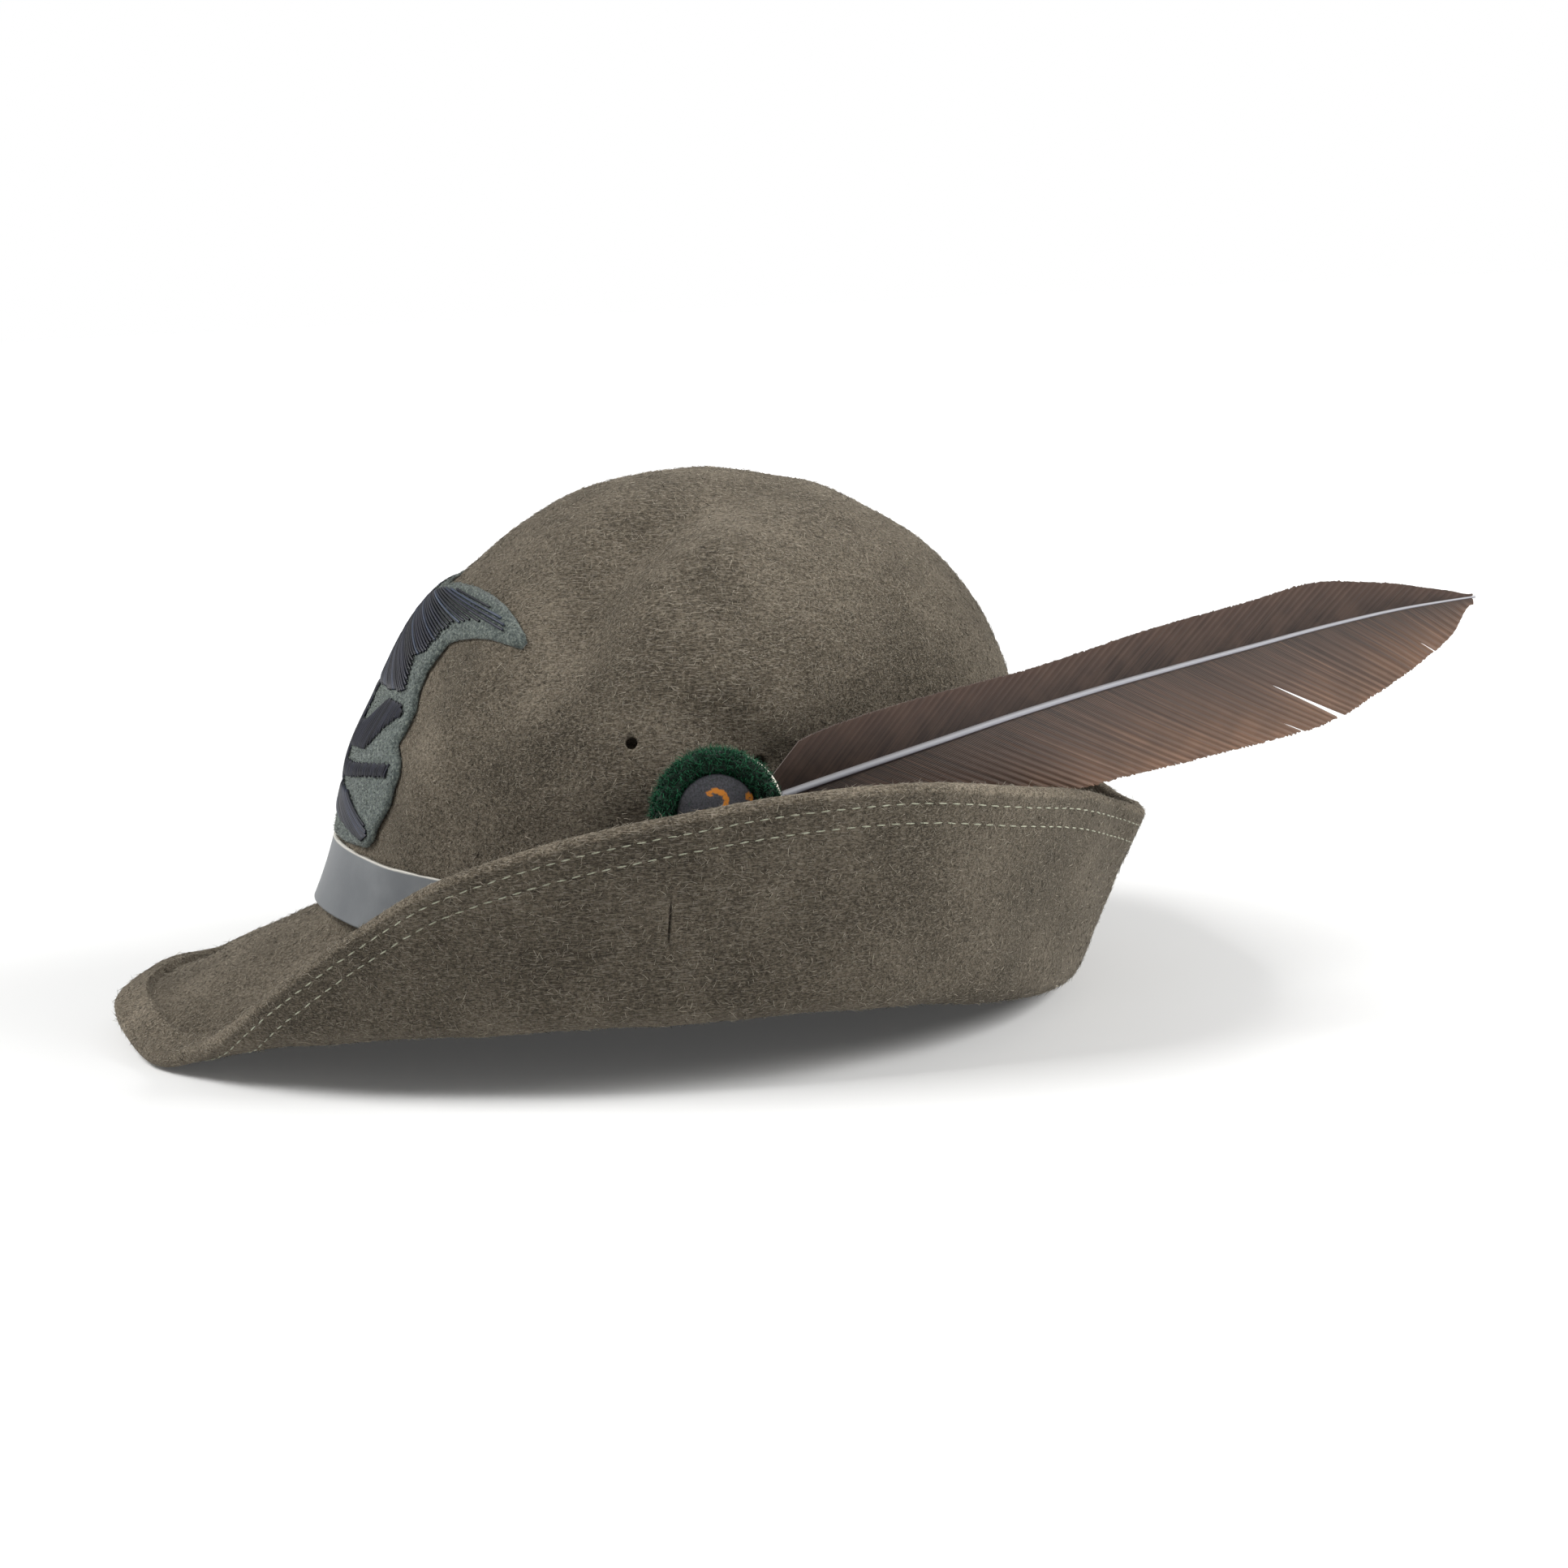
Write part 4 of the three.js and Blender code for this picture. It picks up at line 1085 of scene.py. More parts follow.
        # The slit: a narrow cut in the outer face of the brim
        rise = section.length - distance
        across = (self.stations - self.slit_station) / self.slit_width
        middle = (self.slit_low + self.slit_high) / 2
        reach = (self.slit_high - self.slit_low) / 2
        # Mask of the slit: it sinks the groove and also paints shade into the slit
        cut = np.exp(-(across[None, :] ** 2)) * np.clip(1.15 - ((rise - middle) / reach) ** 4, 0, 1)
        inside[first:] += normals[first:] * (self.slit_depth * cut)[..., None]
        rings = np.concatenate([outside, np.stack(turn), inside[::-1]])
        piece = make_object("felt", *capped(rings), self.form)
        self._press_to_ground(piece)
        outer, mark, age = (np.zeros(rings.shape[:2]) for _ in range(3))
        brim_start = len(outside) + len(turn)
        brim = slice(brim_start, brim_start + len(distance))
        outer[:brim.stop] = 1
        # Painted shade in the slit, from its mask
        mark[brim] = cut[::-1]
        # Painted shade: the brim's outer face is darkened; painted highlight: the hem strip and rolled edge are paled
        age[brim] = -1
        age[len(outside) - self.hem_rows:brim_start] = 1
        set_attribute(piece, "cut", np.append(mark, [0, 0]))
        above = np.array([vertex.co.z for vertex in piece.data.vertices]) / MM
        set_attribute(piece, "age", np.append(age, [0, 0]))
        set_attribute(piece, "fuzz", np.append(outer, [1, 0]) * np.clip((above - self.bare_height) / 2, 0, 1))
        self._punch_vents(piece)
        dress(piece, material, "felt", "felt_body")
        return piece

    @staticmethod
    def _press_to_ground(piece: bpy.types.Object) -> None:
        """Flattens what would dip below the ground."""
        for vertex in piece.data.vertices:
            vertex.co.z = max(vertex.co.z, 0.0)

    def _punch_vents(self, piece: bpy.types.Object) -> None:
        """Cuts the vent holes through both sides of the crown."""
        for side in (1, -1):
            for station, lift in VENTS:
                centre = self.form.crown(side * station, lift)
                out = self.form.crown_normal(side * station, lift)
                across = unit(np.cross(out, [0, 0, 1]))
                upward = np.cross(across, out)
                angles = np.linspace(0, 2 * np.pi, 25)[:-1]
                ring = centre + VENT_DIAMETER / 2 * (
                    np.cos(angles)[:, None] * across + np.sin(angles)[:, None] * upward)
                points = np.concatenate([ring + out * 5, ring - out * 7])
                count = len(angles)
                faces = ring_faces(2, count) + [tuple(range(count)), tuple(range(2 * count - 1, count - 1, -1))]
                punch = make_object("punch", points, faces, self.form)
                fix_normals(punch)
                cut = piece.modifiers.new("vent", "BOOLEAN")
                cut.operation, cut.solver, cut.object = "DIFFERENCE", "EXACT", punch
                mesh = finished_mesh(piece)
                piece.modifiers.remove(cut)
                old, piece.data = piece.data, mesh
                bpy.data.meshes.remove(old)
                drop(punch)
        piece.data.name = "felt"

    def stitch(self, material: bpy.types.Material) -> bpy.types.Object:
        """Two rows of stitches around the brim, seen on both of its faces.

        Args:
            material: The sewing thread's finish.

        Returns:
            The piece.
        """
        section = BrimSection(self.form, self.stations)
        at_peak = self.form.one_side(self.stations) < self.peak_end
        lines = Lines()
        for face, lift in ((-1, FELT / 2 + self.stitch_proud), (1, 1.5 * FELT + self.stitch_proud)):
            for row in self.stitch_rows:
                around = section.at((section.length - np.full((3, 1), row) + np.array([[-0.5], [0.0], [0.5]])))
                normal = grid_normals(around)[1]
                sunk = self.peak_sink * (at_peak & (face > 0))
                lines.add(around[1] + normal * ((lift - sunk) * face + self.lumps(around[1]))[:, None], closed=True)
        source = lines.source("stitch_lines", self.form, toned=False)
        piece = grow("brim_stitches", source, Tree.STITCHES, {
            "Pitch": self.stitch_pitch * MM, "Length": self.stitch_length * MM,
            "Radius": self.stitch_radius * MM, "Seed": 3}, material)
        drop(source)
        self._press_to_ground(piece)
        dress(piece, material, "felt")
        return piece

    def fuzz(self, felt: bpy.types.Object, material: bpy.types.Material) -> list[bpy.types.Object]:
        """Loose hairs on the outside of the felt.

        Args:
            felt: The felt piece.
            material: The hairs' finish.

        Returns:
            One piece for each sowing.
        """
        pieces = []
        for name, sowing in self.nap:
            piece = grow(name, felt, Tree.HAIRS, sowing.sizes(), material)
            dress(piece, material, "felt")
            pieces.append(piece)
        return pieces


@dataclass
class HatBand:
    """Leather strap around the foot of the crown, flared at its lower edge."""

    form: HatForm
    columns: int = 288
    bottom: float = 8.0
    height: float = 19.5
    thickness: float = 1.4
    gap: float = 0.4
    flare: float = 1.6
    rows: int = 10

    def build(self, material: bpy.types.Material) -> bpy.types.Object:
        """Makes the strap.

        Args:
            material: The leather's finish.

        Returns:
            The piece.
        """
        s = np.arange(self.columns) * 360 / self.columns
        share = np.concatenate([[0.0, 0.012, 0.03], np.linspace(0.08, 0.97, self.rows), [1.0]])
        lifts = self.bottom + self.height * (1 - share) - DOME_CENTRE[2]
        wavy = 0.25 * np.sin(np.radians(s * 7)) * np.sin(np.radians(s * 3 + 40))
        flare = self.flare * share**2
        outer = self.form.crown(s[None, :], lifts[:, None], self.gap + self.thickness + flare[:, None])
        inner = self.form.crown(s[None, :], lifts[::-1, None], self.gap + flare[::-1, None])
        outer[..., 2] += wavy
        inner[..., 2] += wavy
        fray = 0.12 * waves(outer[0] * np.array([1, 1, 0]), 5.0, 17)
        outer[0, :, 2] += fray
        inner[-1, :, 2] += fray
        rings = np.concatenate([outer, inner])
        raw = np.zeros(rings.shape[:2])
        raw[[0, 1, -1]] = np.array([[1], [0.8], [1]])
        piece = make_object("leather_band", rings.reshape(-1, 3), ring_faces(*rings.shape[:2], True), self.form)
        set_attribute(piece, "raw", raw)
        dress(piece, material, "leather", "hat_band")
        return piece


@dataclass
class Badge:
    """Cloth badge with satin stitch laid thread by thread."""

    form: HatForm
    degree: float = 1.72
    cell: float = 1.4
    thread_pitch: float = 0.72
    thread_radius: float = 0.4
    thread_sink: float = 0.35
    thread_flat: float = 0.25
    rim_width: float = 1.1
    rag_height: float = 0.3
    rag_mm: float = 2.6
    fan_centre: tuple[float, float] = (-30.0, 62.0)
    fan_angles: tuple[float, float] = (-100, 12)
    fan_reach: tuple[float, float, float] = (20, 130, 1.1)
    short_nap: Sowing = Sowing(1.1e6, 1.5, 0.08, 0.3, 0.1, 0.5, 1.45, 1, 41)

    def flat(self, outline: Sequence[tuple[float, float]], mirrored: bool) -> np.ndarray:
        """Outline of one half or of the whole badge in flat millimetres.

        Args:
            outline: Stations and lifts down the wearer's left.
            mirrored: Whether the right half is joined on.

        Returns:
            Corners as [corner, xy].
        """
        left = list(outline)
        if mirrored:
            left += [(-x, y) for x, y in reversed(left) if x > 0]
        return np.array(left, dtype=float) * self.degree

    def lay(self, flat: np.ndarray, proud: np.ndarray | float) -> np.ndarray:
        """Flat millimetres laid on the crown."""
        return self.form.crown(flat[..., 0] / self.degree, flat[..., 1] / self.degree, proud)

    @staticmethod
    def inside(polygon: np.ndarray, places: np.ndarray) -> np.ndarray:
        """Which places lie inside a polygon."""
        x, y = places[..., 0], places[..., 1]
        result = np.zeros(x.shape, dtype=bool)
        for (x0, y0), (x1, y1) in zip(polygon, np.roll(polygon, -1, axis=0)):
            crosses = (y0 > y) != (y1 > y)
            at = (x1 - x0) * (y - y0) / ((y1 - y0) if y1 != y0 else 1e-9) + x0
            result ^= crosses & (x < at)
        return result

    @staticmethod
    def edge_distance(polygon: np.ndarray, places: np.ndarray) -> np.ndarray:
        """Distance of each place from the polygon's edge."""
        best = np.full(places.shape[:-1], 1e9)
        for a, b in zip(polygon, np.roll(polygon, -1, axis=0)):
            run = b - a
            u = np.clip(((places - a) @ run) / max(run @ run, 1e-9), 0, 1)
            best = np.minimum(best, np.linalg.norm(places - a - u[..., None] * run, axis=-1))
        return best

    def backing(self, material: bpy.types.Material) -> bpy.types.Object:
        """Cloth of the badge, thin and rounded at its edge.

        Args:
            material: The cloth's finish.

        Returns:
            The piece.
        """
        polygon = self.flat(BADGE_OUTLINE, True)
        work = bmesh.new()
        work.faces.new([work.verts.new((x, y, 0)) for x, y in polygon])
        bmesh.ops.triangulate(work, faces=work.faces)
        for _ in range(8):
            long = [e for e in work.edges if e.calc_length() > 2 * self.cell]
            if not long:
                break
            bmesh.ops.subdivide_edges(work, edges=long, cuts=1, use_grid_fill=False)
            bmesh.ops.triangulate(work, faces=[f for f in work.faces if len(f.verts) > 3])
        places = np.array([v.co[:2] for v in work.verts])
        work.verts.index_update()
        faces = [[v.index for v in f.verts] for f in work.faces]
        rim_edges = [e for e in work.edges if e.is_boundary]
        rim = [(l.vert.index, l.link_loop_next.vert.index) for e in rim_edges for l in e.link_loops]
        work.free()
        depth = self.edge_distance(polygon, places)
        ragged = self.rag_height * waves(np.column_stack([places, np.zeros(len(places))]), self.rag_mm, 8)
        rounded = np.sqrt(np.clip(1 - (1 - np.clip(depth / self.rim_width, 0, 1)) ** 2, 0, 1))
        top = self.lay(places, BADGE_GAP + BADGE_CLOTH * (0.35 + 0.65 * rounded) + ragged * 0.5)
        low = self.lay(places, BADGE_GAP)
        count = len(places)
        every = [tuple(f) for f in faces] + [tuple(i + count for i in reversed(f)) for f in faces]
        every += [(b, a, a + count, b + count) for a, b in rim]
        piece = make_object("badge_cloth", np.concatenate([top, low]), every, self.form)
        fix_normals(piece)
        set_attribute(piece, "fuzz", np.append(np.ones(count), np.zeros(count)))
        dress(piece, material, "badge_cloth", "badge_backing")
        return piece

    def nap(self, cloth: bpy.types.Object, material: bpy.types.Material) -> bpy.types.Object:
        """Short hairs that stand on the badge's cloth.

        Args:
            cloth: The cloth piece.
            material: The hairs' finish.

        Returns:
            The piece.
        """
        piece = grow("badge_nap", cloth, Tree.HAIRS, self.short_nap.sizes(), material)
        dress(piece, material, "badge_cloth")
        return piece

    def satin(self, material: bpy.types.Material) -> bpy.types.Object:
        """Satin stitch: threads side by side across each field.

        Args:
            material: The embroidery thread's finish.

        Returns:
            The piece.
        """
        rng = np.random.default_rng(5)
        lines = Lines()
        for motif in Motif:
            polygon = self.flat(motif.value, False)
            for line in self._thread_lines(motif, polygon):
                kept = self.inside(polygon, line)
                shade = rng.uniform(0, 0.55)
                if motif in (Motif.WING, Motif.CHEVRON) and rng.random() < 0.09:
                    shade = rng.uniform(0.8, 1.0)
                runs = np.flatnonzero(np.diff(np.concatenate([[0], kept.astype(int), [0]])))
                for begin, end in zip(runs[::2], runs[1::2]):
                    if end - begin < 3:
                        continue
                    run = line[begin:end]
                    depth = self.edge_distance(polygon, run)
                    pillow = 1 - np.exp(-depth / 0.8)
                    proud = (2 * BADGE_GAP + BADGE_CLOTH - self.thread_sink
                             + (BADGE_THREAD - self.thread_flat) * pillow + rng.uniform(0, 0.12))
                    for side in (1, -1):
                        lines.add(self.lay(run * np.array([side, 1]), proud), shade)
        source = lines.source("satin_lines", self.form)
        piece = grow("badge_satin", source, Tree.THREADS, {"Sides": 5, "Radius": self.thread_radius * MM}, material)
        drop(source)
        dress(piece, material, "embroidery_thread", "badge_embroidery")
        return piece

    def _thread_lines(self, motif: Motif, polygon: np.ndarray) -> list[np.ndarray]:
        """Lines along which a field's threads run, longer than the field.

        Args:
            motif: The field.
            polygon: Its outline in flat millimetres.

        Returns:
            The lines: a fan on the wing, and side by side elsewhere.
        """
        if motif is Motif.WING:
            lines = []
            for angle in np.arange(*self.fan_angles, self.thread_pitch / 48 * 57.3):
                reach = np.arange(*self.fan_reach)
                bow = np.radians(angle) - 0.0011 * (reach - 40)
                lines.append(np.array(self.fan_centre) + np.stack([np.cos(bow) * reach, np.sin(bow) * reach], -1))
            return lines
        low, high = polygon.min(0) - 1, polygon.max(0) + 1
        slope = {Motif.SPINE: (0.0, 1.0), Motif.WEDGE: (0.35, 1.0), Motif.BAR: (0.1, 1.0),
                 Motif.CHEVRON: (1.0, -0.62)}[motif]
        run = unit(np.array(slope))
        side = np.array([-run[1], run[0]])
        centre, reach = (low + high) / 2, float(np.linalg.norm(high - low)) / 2
        steps = np.arange(-reach, reach, 0.7)
        return [centre + side * offset + run * steps[:, None] for offset in np.arange(-reach, reach, self.thread_pitch)]


@dataclass
class Feather:
    """Long feather: its horn shaft and, on each side, a vane of separate barbs."""

    form: HatForm
    shaft_steps: int = 160
    shaft_sides: int = 16
    barb_pitch: float = 0.55
    barb_radius: float = 0.29
    barb_points: int = 11
    upper_lean: float = 57.0
    lower_lean: float = 54.0
    splits: tuple[tuple[float, float, float], ...] = (
        (166.5, 0.052, 0.42), (151.0, 0.016, 0.86), (219.0, 0.03, 0.8))

    def __post_init__(self) -> None:
        """Measures the shaft's curve."""
        fine = np.linspace(0, 11, 1200)
        row = QUILL.along(fine)
        self.curve = np.stack([row["x"], row["y"], row["z"]], -1)
        steps = np.linalg.norm(np.diff(self.curve, axis=0), axis=1)
        self.length_at = np.concatenate([[0], np.cumsum(steps)])
        self.radius_at = row["radius"]
        self.length = float(self.length_at[-1])

    def frame_at(self, distance: np.ndarray) -> tuple[np.ndarray, np.ndarray, np.ndarray, np.ndarray]:
        """Frame of the shaft.

        Args:
            distance: Millimetres along the shaft.

        Returns:
            The point, the way across the vane, the way out of it, and the shaft's radius.
        """
        distance = np.clip(distance, 0, self.length)
        run = unit(self._point(np.minimum(distance + 2, self.length)) - self._point(np.maximum(distance - 2, 0)))
        out = unit(np.cross(run, np.array([0.0, 0.0, 1.0])))
        return self._point(distance), np.cross(out, run), out, np.interp(distance, self.length_at, self.radius_at)

    def _point(self, distance: np.ndarray) -> np.ndarray:
        """Points of the shaft's middle line."""
        return np.stack([np.interp(distance, self.length_at, self.curve[:, k]) for k in range(3)], -1)

    @staticmethod
    def _swept(reach: np.ndarray | float, lean: float) -> np.ndarray | float:
        """How far a barb has run towards the tip when it has reached this far out."""
        return reach * lean * (0.9 + 0.003 * reach)

    def vane_point(self, distance: np.ndarray, reach: np.ndarray, height: np.ndarray | float) -> np.ndarray:
        """Place on a vane.

        Args:
            distance: Millimetres along the shaft.
            reach: Millimetres across it, above 0 on the upper vane.
            height: Millimetres off the vane's middle.

        Returns:
            Points in the hat's own frame.
        """
        at, up, out, _ = self.frame_at(distance)
        return at + up * reach[..., None] + out * (height - VANE_CUP * reach**2)[..., None]

    def shaft(self, material: bpy.types.Material) -> bpy.types.Object:
        """Tapered shaft with a groove under it.

        Args:
            material: The horn's finish.

        Returns:
            The piece.
        """
        distance = np.linspace(0, self.length, self.shaft_steps)
        at, up, out, radius = self.frame_at(distance)
        angle = np.linspace(0, 2 * np.pi, self.shaft_sides, endpoint=False)
        groove = 1 - 0.22 * np.exp(-(((np.mod(angle - 3.6 + np.pi, 2 * np.pi) - np.pi) / 0.45) ** 2))
        rings = at[:, None] + (radius[:, None] * groove)[..., None] * (
            np.cos(angle)[None, :, None] * up[:, None] - np.sin(angle)[None, :, None] * out[:, None] * 1.05)
        piece = make_object("feather_shaft", *capped(rings[::-1]), self.form)
        fix_normals(piece)
        # Painted highlight: the shaft's upper side is pale and its lower side dark, by angle around the shaft
        light = (np.cos(angle) + 1) / 2
        set_attribute(piece, "tone", np.append(np.tile(light, len(rings)), [0.5, 0.5]))
        dress(piece, material, "quill", "feather_quill")
        return piece

    def vane(self, side: int, material: bpy.types.Material) -> bpy.types.Object:
        """One vane, barb by barb.

        Args:
            side: 1 for the narrow upper vane, -1 for the broad lower one.
            material: The barbs' finish.

        Returns:
            The piece.
        """
        rng = np.random.default_rng(31 if side > 0 else 32)
        column = "up" if side > 0 else "down"
        first, last = VANE.rows[0][0], VANE.rows[-1][0]
        lean = math.tan(math.radians(self.upper_lean if side > 0 else self.lower_lean))
        lines = Lines()
        for root in np.arange(first, last - 0.4, self.barb_pitch):
            reach = 0.0
            for _ in range(40):
                end = min(root + self._swept(reach, lean), last)
                reach = 0.6 * reach + 0.4 * float(VANE.along(np.array(max(end, first)))[column])
            inner = float(np.interp(root, self.length_at, self.radius_at)) * 0.6
            reach = max(reach * (1 + rng.normal(0, 0.006)), inner + 0.4)
            u = np.linspace(0, 1, self.barb_points)
            across = inner + (reach - inner) * u
            along = np.minimum(root + self._swept(across, lean), last + 0.4)
            if side < 0:
                for middle, opening, start in self.splits:
                    gap = root - middle
                    if abs(gap) < 9:
                        open_by = opening * across**2 / reach * (across > start * reach) * math.exp(-abs(gap) / 3.5)
                        along = along + (open_by if gap >= 0 else -open_by)
            place = self.vane_point(along, across * side, 0.10 * math.sin(root * 2.1) * u)
            lines.add(place, 0.12 + 0.72 * u**1.2 + rng.normal(0, 0.11), 1.0 - 0.55 * u**3)
        source = lines.source("barb_lines", self.form)
        name = "upper" if side > 0 else "lower"
        piece = grow(f"feather_barbs_{name}", source, Tree.THREADS,
                     {"Sides": 5, "Radius": self.barb_radius * MM}, material)
        drop(source)
        dress(piece, material, "vane", f"feather_vane_{name}")
        return piece


@dataclass
class Pompom:
    """Wool pompom with a painted disc sunk in its middle."""

    form: HatForm
    seat: tuple[float, float, float] = (83.533, 9.109, 56.166)
    radius: float = 19.2
    depth: float = 10.0
    stand_off: float = 6.1
    plate: float = 0.8
    disc_radius: float = 11.2
    disc_thickness: float = 1.2
    recess: float = 2.4
    plate_radius: float = 15.9
    plate_back: float = 3.1
    plate_up: float = 1.4
    seat_shift: float = 0.8
    wool_gap: float = 0.3
    wool_inset: float = 1.5
    pile: Sowing = Sowing(2.3e6, 2.6, 0.19, 1.3, 0.0, 0.1, 1.25, 2, 6)

    def back_plate(self, material: bpy.types.Material) -> None:
        """Thin metal plate behind the wool, of which a pale edge shows.

        Args:
            material: The plate's finish.
        """
        low, r = self.stand_off, self.plate_radius
        high, bevel = low + self.plate, 0.2
        profile = np.array([
            (r * 0.5, high), (r - bevel, high), (r, high - bevel), (r, low + bevel), (r - bevel, low), (r * 0.5, low)])
        plate = self._spun("pompom_back_plate", profile, 64, self._round)
        _, back, up, _ = self._axes()
        move = Vector((self.form.turn @ (self.plate_back * back + self.plate_up * up)) * MM)
        for vertex in plate.data.vertices:
            vertex.co += move
        dress(plate, material, "plate_metal", "pompom_plate")

    def _axes(self) -> tuple[np.ndarray, np.ndarray, np.ndarray, np.ndarray]:
        """Middle on the felt, and the ways to the back, up and out."""
        out = unit(self.form.disc_middle - np.array(self.seat))
        back = unit(np.cross([0, 0, 1], out))
        return np.array(self.seat) - self.seat_shift * back, back, np.cross(out, back), out

    @staticmethod
    def _round(angle: np.ndarray, row: np.ndarray) -> np.ndarray:
        """No change from a round shape."""
        return 0.0 * angle * row

    def _floor(self) -> float:
        """Height of the wool's underside."""
        return self.stand_off + self.plate + self.wool_gap

    def _spun(self, name: str, profile: np.ndarray, sides: int,
              shape: Callable[[np.ndarray, np.ndarray], np.ndarray]) -> bpy.types.Object:
        """Closed turned shape from its top middle to its bottom middle.

        Args:
            name: The piece's name.
            profile: Rows of radius and height.
            sides: Points around.
            shape: Change of radius and height for angle and row.

        Returns:
            The object.
        """
        middle, back, up, out = self._axes()
        angle = np.linspace(0, 2 * np.pi, sides, endpoint=False)
        change = shape(angle[None, :], np.arange(len(profile))[:, None])
        reach = profile[:, :1] + change
        height = profile[:, 1:] + 0.4 * change
        rings = (middle + (reach * np.cos(angle))[..., None] * back + (reach * np.sin(angle))[..., None] * up
                 + (height + 0 * reach)[..., None] * out)
        piece = make_object(name, *capped(rings), self.form)
        fix_normals(piece)
        return piece

    def wool(self, base: bpy.types.Material, pile: bpy.types.Material) -> list[bpy.types.Object]:
        """Lumpy wool ring and the pile that stands on it.

        Args:
            base: Finish of the dense wool under the pile.
            pile: Finish of the single fibres.

        Returns:
            Both pieces.
        """
        floor = self._floor()
        top = floor + self.depth
        dish = self.disc_radius + 0.6
        turn = np.linspace(0, np.pi, 22)
        radius = self.radius - self.wool_inset
        centre, half = (radius + dish) / 2, (radius - dish) / 2
        rim = np.column_stack([centre - half * np.cos(turn), top - 5 + 5 * np.sin(turn) ** 0.8])
        rim[0] = (dish, top - self.recess)
        profile = np.concatenate([
            [[dish * 0.5, top - self.recess]], rim,
            [[radius - 0.3, floor + 3], [radius - 1.2, floor + 0.8], [radius - 3, floor], [3, floor]]])

        def locks(angle: np.ndarray, row: np.ndarray) -> np.ndarray:
            """Locks of wool of uneven size."""
            swell = np.cos(11 * angle + row * 0.5) * 0.6 + np.cos(17 * angle - row * 0.8 + 1) * 0.5
            return swell * np.clip(np.sin(np.clip(row - 1, 0, 22) / 22 * np.pi), 0, 1)

        body = self._spun("pompom_body", profile, 144, locks)
        set_attribute(body, "fuzz", np.ones(len(body.data.vertices)))
        fibres = grow("pompom_pile", body, Tree.HAIRS, self.pile.sizes(), pile)
        dress(body, base, "pompom_wool", "pompom_wool")
        dress(fibres, pile, "pompom_wool")
        return [body, fibres]

    def disc(self, material: bpy.types.Material) -> bpy.types.Object:
        """Slightly domed disc with a rounded edge and a worn painted stroke.

        Args:
            material: The paint's finish.

        Returns:
            The piece.
        """
        floor = self._floor() + self.depth - self.recess + self.wool_gap
        r, t = self.disc_radius, self.disc_thickness
        share = np.linspace(0.02, 0.93, 26)
        profile = np.concatenate([
            np.column_stack([r * share, floor + t + 0.25 - 0.25 * share**2]),
            [[r - 0.25, floor + t - 0.1], [r, floor + t - 0.45], [r, floor + 0.2], [r - 0.2, floor], [1, floor]]])
        piece = self._spun("pompom_badge_disc", profile, 96, self._round)
        middle, back, up, _ = self._axes()
        world = np.array([v.co[:] for v in piece.data.vertices]) / MM
        local = (world - self.form.shift) @ self.form.turn - middle
        x, y = local @ back, local @ up
        arc = (np.abs(np.hypot(x + 0.6, y - 3.6) - 2.8) < 0.8) & (y > 2.4 - 0.9 * x)
        smear = (np.hypot((x + 4.4) / 3.2, (y - 0.6 - 0.2 * x) / 1.2) < 1) | (np.hypot(x - 8.6, y - 5.4) < 1.1)
        set_attribute(piece, "mark", (arc | smear).astype(float))
        dress(piece, material, "disc_enamel", "pompom_disc")
        return piece


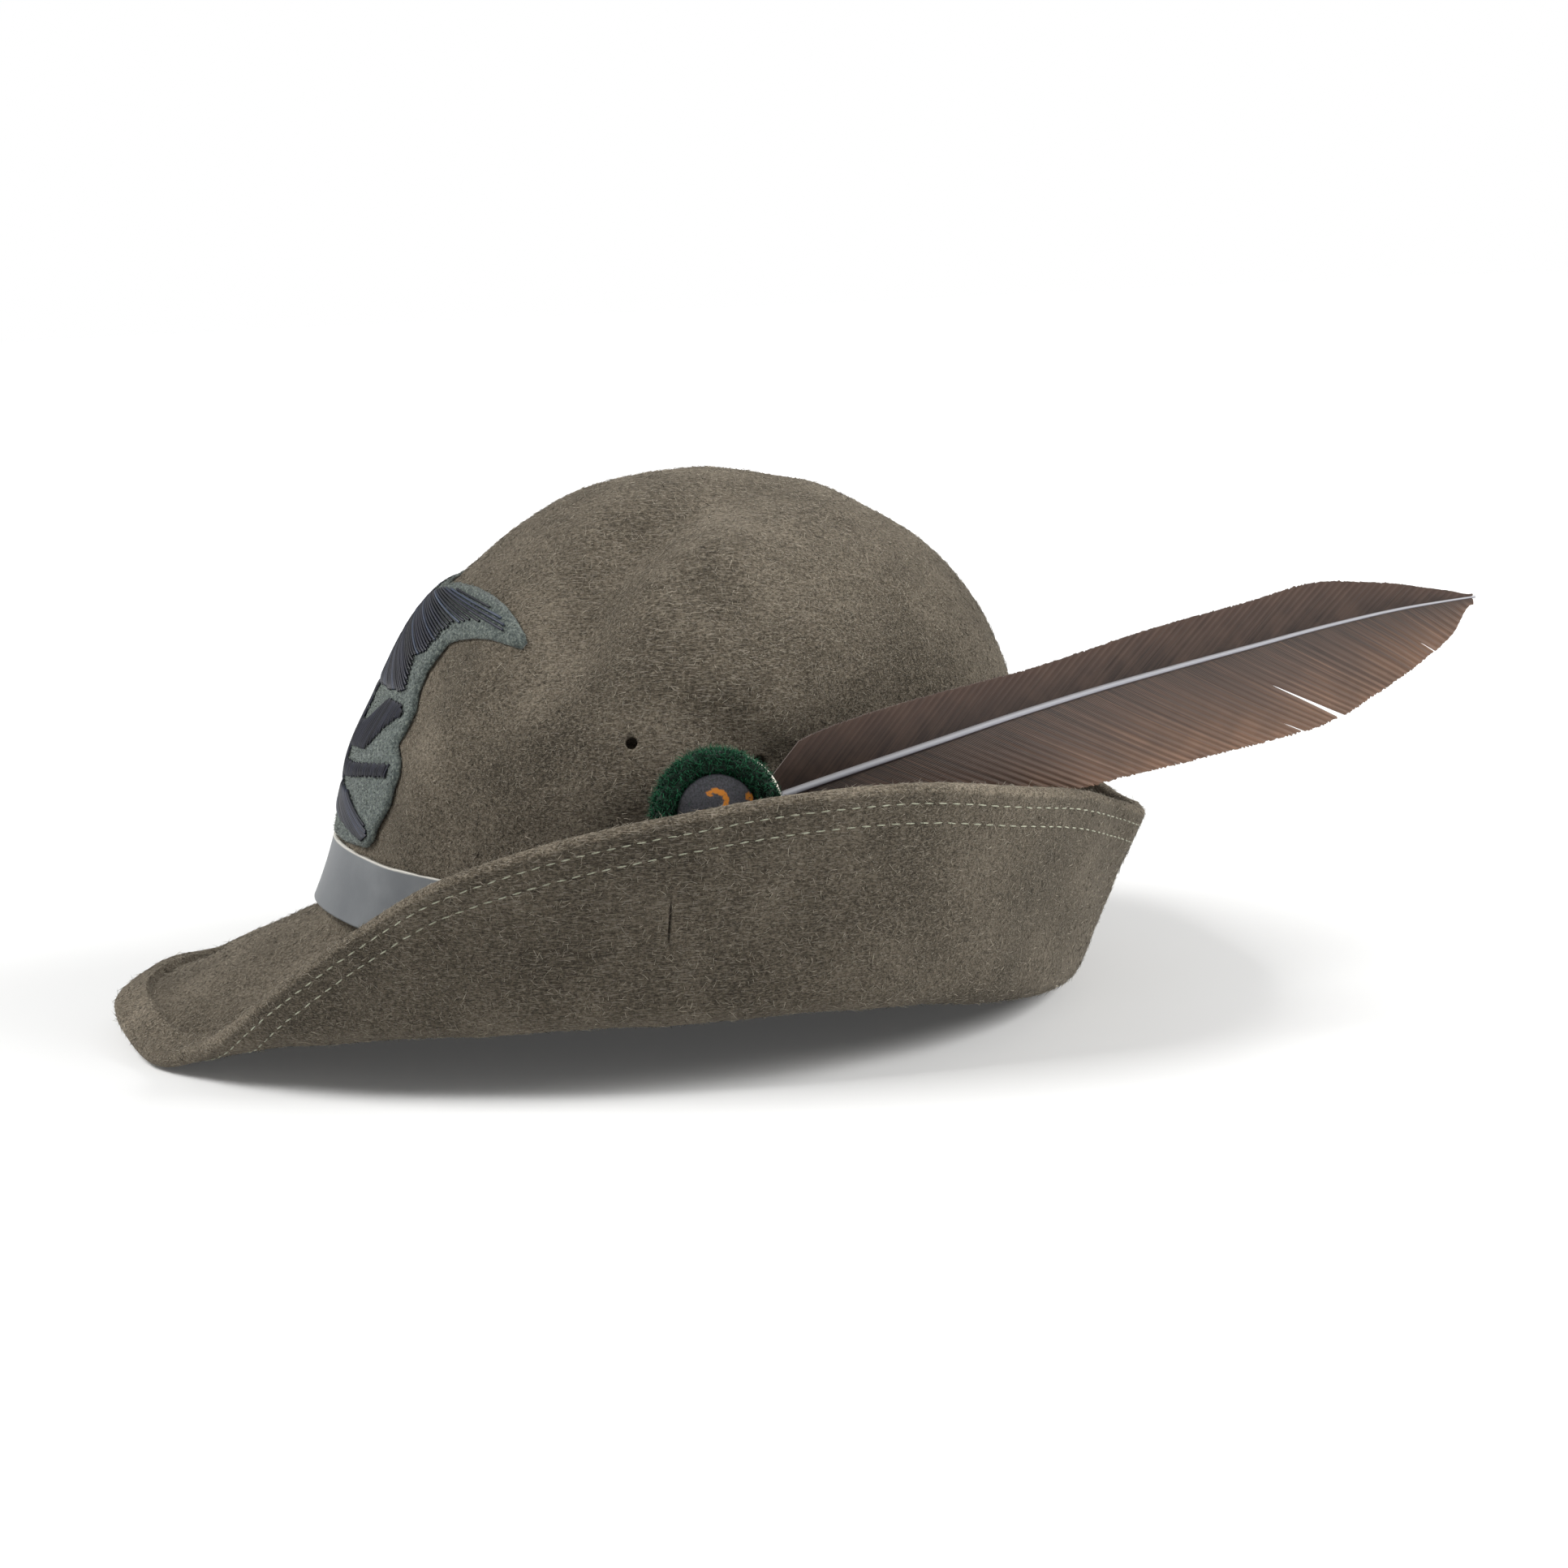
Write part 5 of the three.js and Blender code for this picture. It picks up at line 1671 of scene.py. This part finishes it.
@dataclass(frozen=True)
class Studio:
    """Floor, soft lights and the camera at the photograph's angle to the hat."""

    azimuth: float = 87.5
    elevation: float = 9.5
    roll: float = -4.5
    distance: float = 1080.0
    focal_pixels: float = 4320.0
    picture: int = 1932
    origin_pixel: tuple[float, float] = (826.0, 1160.0)
    sensor: float = 36.0
    sky_low: float = 0.4
    sky_high: float = 0.12
    floor_reach: float = 2.6
    aim: tuple[float, float, float] = (0.0, 0.0, 0.08)
    boxes: tuple[tuple[str, tuple[float, float, float], float, float], ...] = (
        ("right_box", (0.25, 1.25, 0.75), 22.0, 0.7), ("left_box", (0.1, -1.05, 1.2), 22.0, 0.7),
        ("floor_wash", (-0.3, 0.0, 2.4), 5.0, 3.2))

    def camera(self, form: HatForm) -> None:
        """Places the camera where it sees the hat as the photograph does."""
        a, e, r = (math.radians(v) for v in (self.azimuth, self.elevation, self.roll))
        back = np.array([math.sin(a) * math.cos(e), -math.cos(a) * math.cos(e), math.sin(e)])
        level = np.array([math.cos(a), math.sin(a), 0.0])
        above = np.cross(back, level)
        right = level * math.cos(r) - above * math.sin(r)
        up = level * math.sin(r) + above * math.cos(r)
        scale = self.distance / self.focal_pixels
        u = (self.origin_pixel[0] - self.picture / 2) * scale
        v = -(self.origin_pixel[1] - self.picture / 2) * scale
        eye = -(right * u + up * v) + back * self.distance
        data = bpy.data.cameras.new("camera")
        data.sensor_width = self.sensor
        data.lens = self.focal_pixels * self.sensor / self.picture
        data.clip_start, data.clip_end = 0.05, 50.0
        camera = bpy.data.objects.new("camera", data)
        matrix = np.eye(4)
        matrix[:3] = np.column_stack([form.turn @ right, form.turn @ up, form.turn @ back, form.to_world(eye)])
        camera.matrix_world = Matrix(matrix.tolist())
        bpy.context.scene.collection.objects.link(camera)
        bpy.context.scene.camera = camera

    def lights(self) -> None:
        """Soft boxes to the hat's left and right, a wide weak one above, and a sky that dims upwards."""
        aim = Vector(self.aim)
        for name, place, power, size in self.boxes:
            data = bpy.data.lights.new(name, "AREA")
            data.energy, data.size = power, size
            light = bpy.data.objects.new(name, data)
            light.location = place
            light.rotation_mode = "QUATERNION"
            light.rotation_quaternion = (aim - light.location).to_track_quat("-Z", "Y")
            bpy.context.scene.collection.objects.link(light)
        world = bpy.data.worlds.new("studio")
        world.use_nodes = True
        world.node_tree.nodes.clear()
        board = Board(world.node_tree)
        path = board.add("ShaderNodeLightPath")
        way = board.add("ShaderNodeTexCoord")
        height = board.add("ShaderNodeSeparateXYZ", links={"Vector": (way, "Generated")})
        sky = board.level((height, "Z"), To_Min=self.sky_low, To_Max=self.sky_high)
        strength = board.add("ShaderNodeMapRange", {"To Max": 1.0}, {"Value": (path, "Is Camera Ray"), "To Min": sky})
        backdrop = board.add("ShaderNodeBackground", {"Color": (1.0, 1.0, 1.0, 1.0)}, {"Strength": (strength, 0)})
        board.add("ShaderNodeOutputWorld", links={"Surface": (backdrop, 0)})
        bpy.context.scene.world = world
        bpy.context.scene.view_settings.view_transform = "Standard"

    def floor(self, material: bpy.types.Material) -> None:
        """Plain pale floor under the hat."""
        r = self.floor_reach
        mesh = bpy.data.meshes.new("floor")
        mesh.from_pydata([(-r, -r, 0), (r, -r, 0), (r, r, 0), (-r, r, 0)], [], [(0, 1, 2, 3)])
        floor = bpy.data.objects.new("floor", mesh)
        floor.data.materials.append(material)
        bpy.context.scene.collection.objects.link(floor)


def main() -> None:
    """Builds the hat piece by piece, then the studio."""
    logging.basicConfig(level=logging.INFO, format="%(name)s: %(message)s")
    form = HatForm()
    felt_hair = HairFibre("felt_hair", "#332d24", "#b5ac9b").build()
    body = FeltBody(form)
    felt = body.build(HairFelt().build())
    body.stitch(MottledCloth("sewing_thread", "#7c7d6a", "#a3a48f", "#c3c3b0", 0.4, 0.8).build())
    body.fuzz(felt, felt_hair)
    HatBand(form).build(GrainLeather().build())
    badge = Badge(form)
    cloth = badge.backing(MottledCloth("badge_felt", "#2a3030", "#525a57", "#8a9188", 0.8, 0.95, 0.5).build())
    badge.nap(cloth, HairFibre("badge_hair", "#2c3332", "#9aa298").build())
    badge.satin(ToneThread("satin_thread", ((0.0, "#0b0c14"), (0.55, "#1f2130"), (0.8, "#2a3041"), (1.0, "#3c4556")),
                           0.5, 6.0, "#14151e").build())
    feather = Feather(form)
    feather.shaft(HornShaft().build())
    feather.vane(1, ToneThread("barbs_dark", ((0.0, "#2a201b"), (0.5, "#463730"), (1.0, "#523f36")), 0.5, 9.0,
                               "#5e4a3e", 0.35).build())
    feather.vane(-1, ToneThread("barbs_brown", ((0.0, "#33261f"), (0.4, "#574236"), (1.0, "#80604a")), 0.5, 14.0,
                                "#4a392f", 0.5).build())
    pompom = Pompom(form)
    pompom.wool(MottledCloth("wool_ground", "#050f0a", "#0c2015", "#12301f", 1.2, 1.0, 0.4).build(),
                HairFibre("wool_pile", "#062018", "#1d6441").build())
    pompom.disc(PaintedDisc().build())
    pompom.back_plate(DullMetal("plate_metal", "#cfcabd").build())
    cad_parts["quill_sleeve"].material_slots[0].material = DullMetal("sleeve_metal", "#a3a19b").build()
    studio = Studio()
    studio.camera(form)
    studio.lights()
    studio.floor(LightTable().build())


if __name__ == "__main__":
    main()
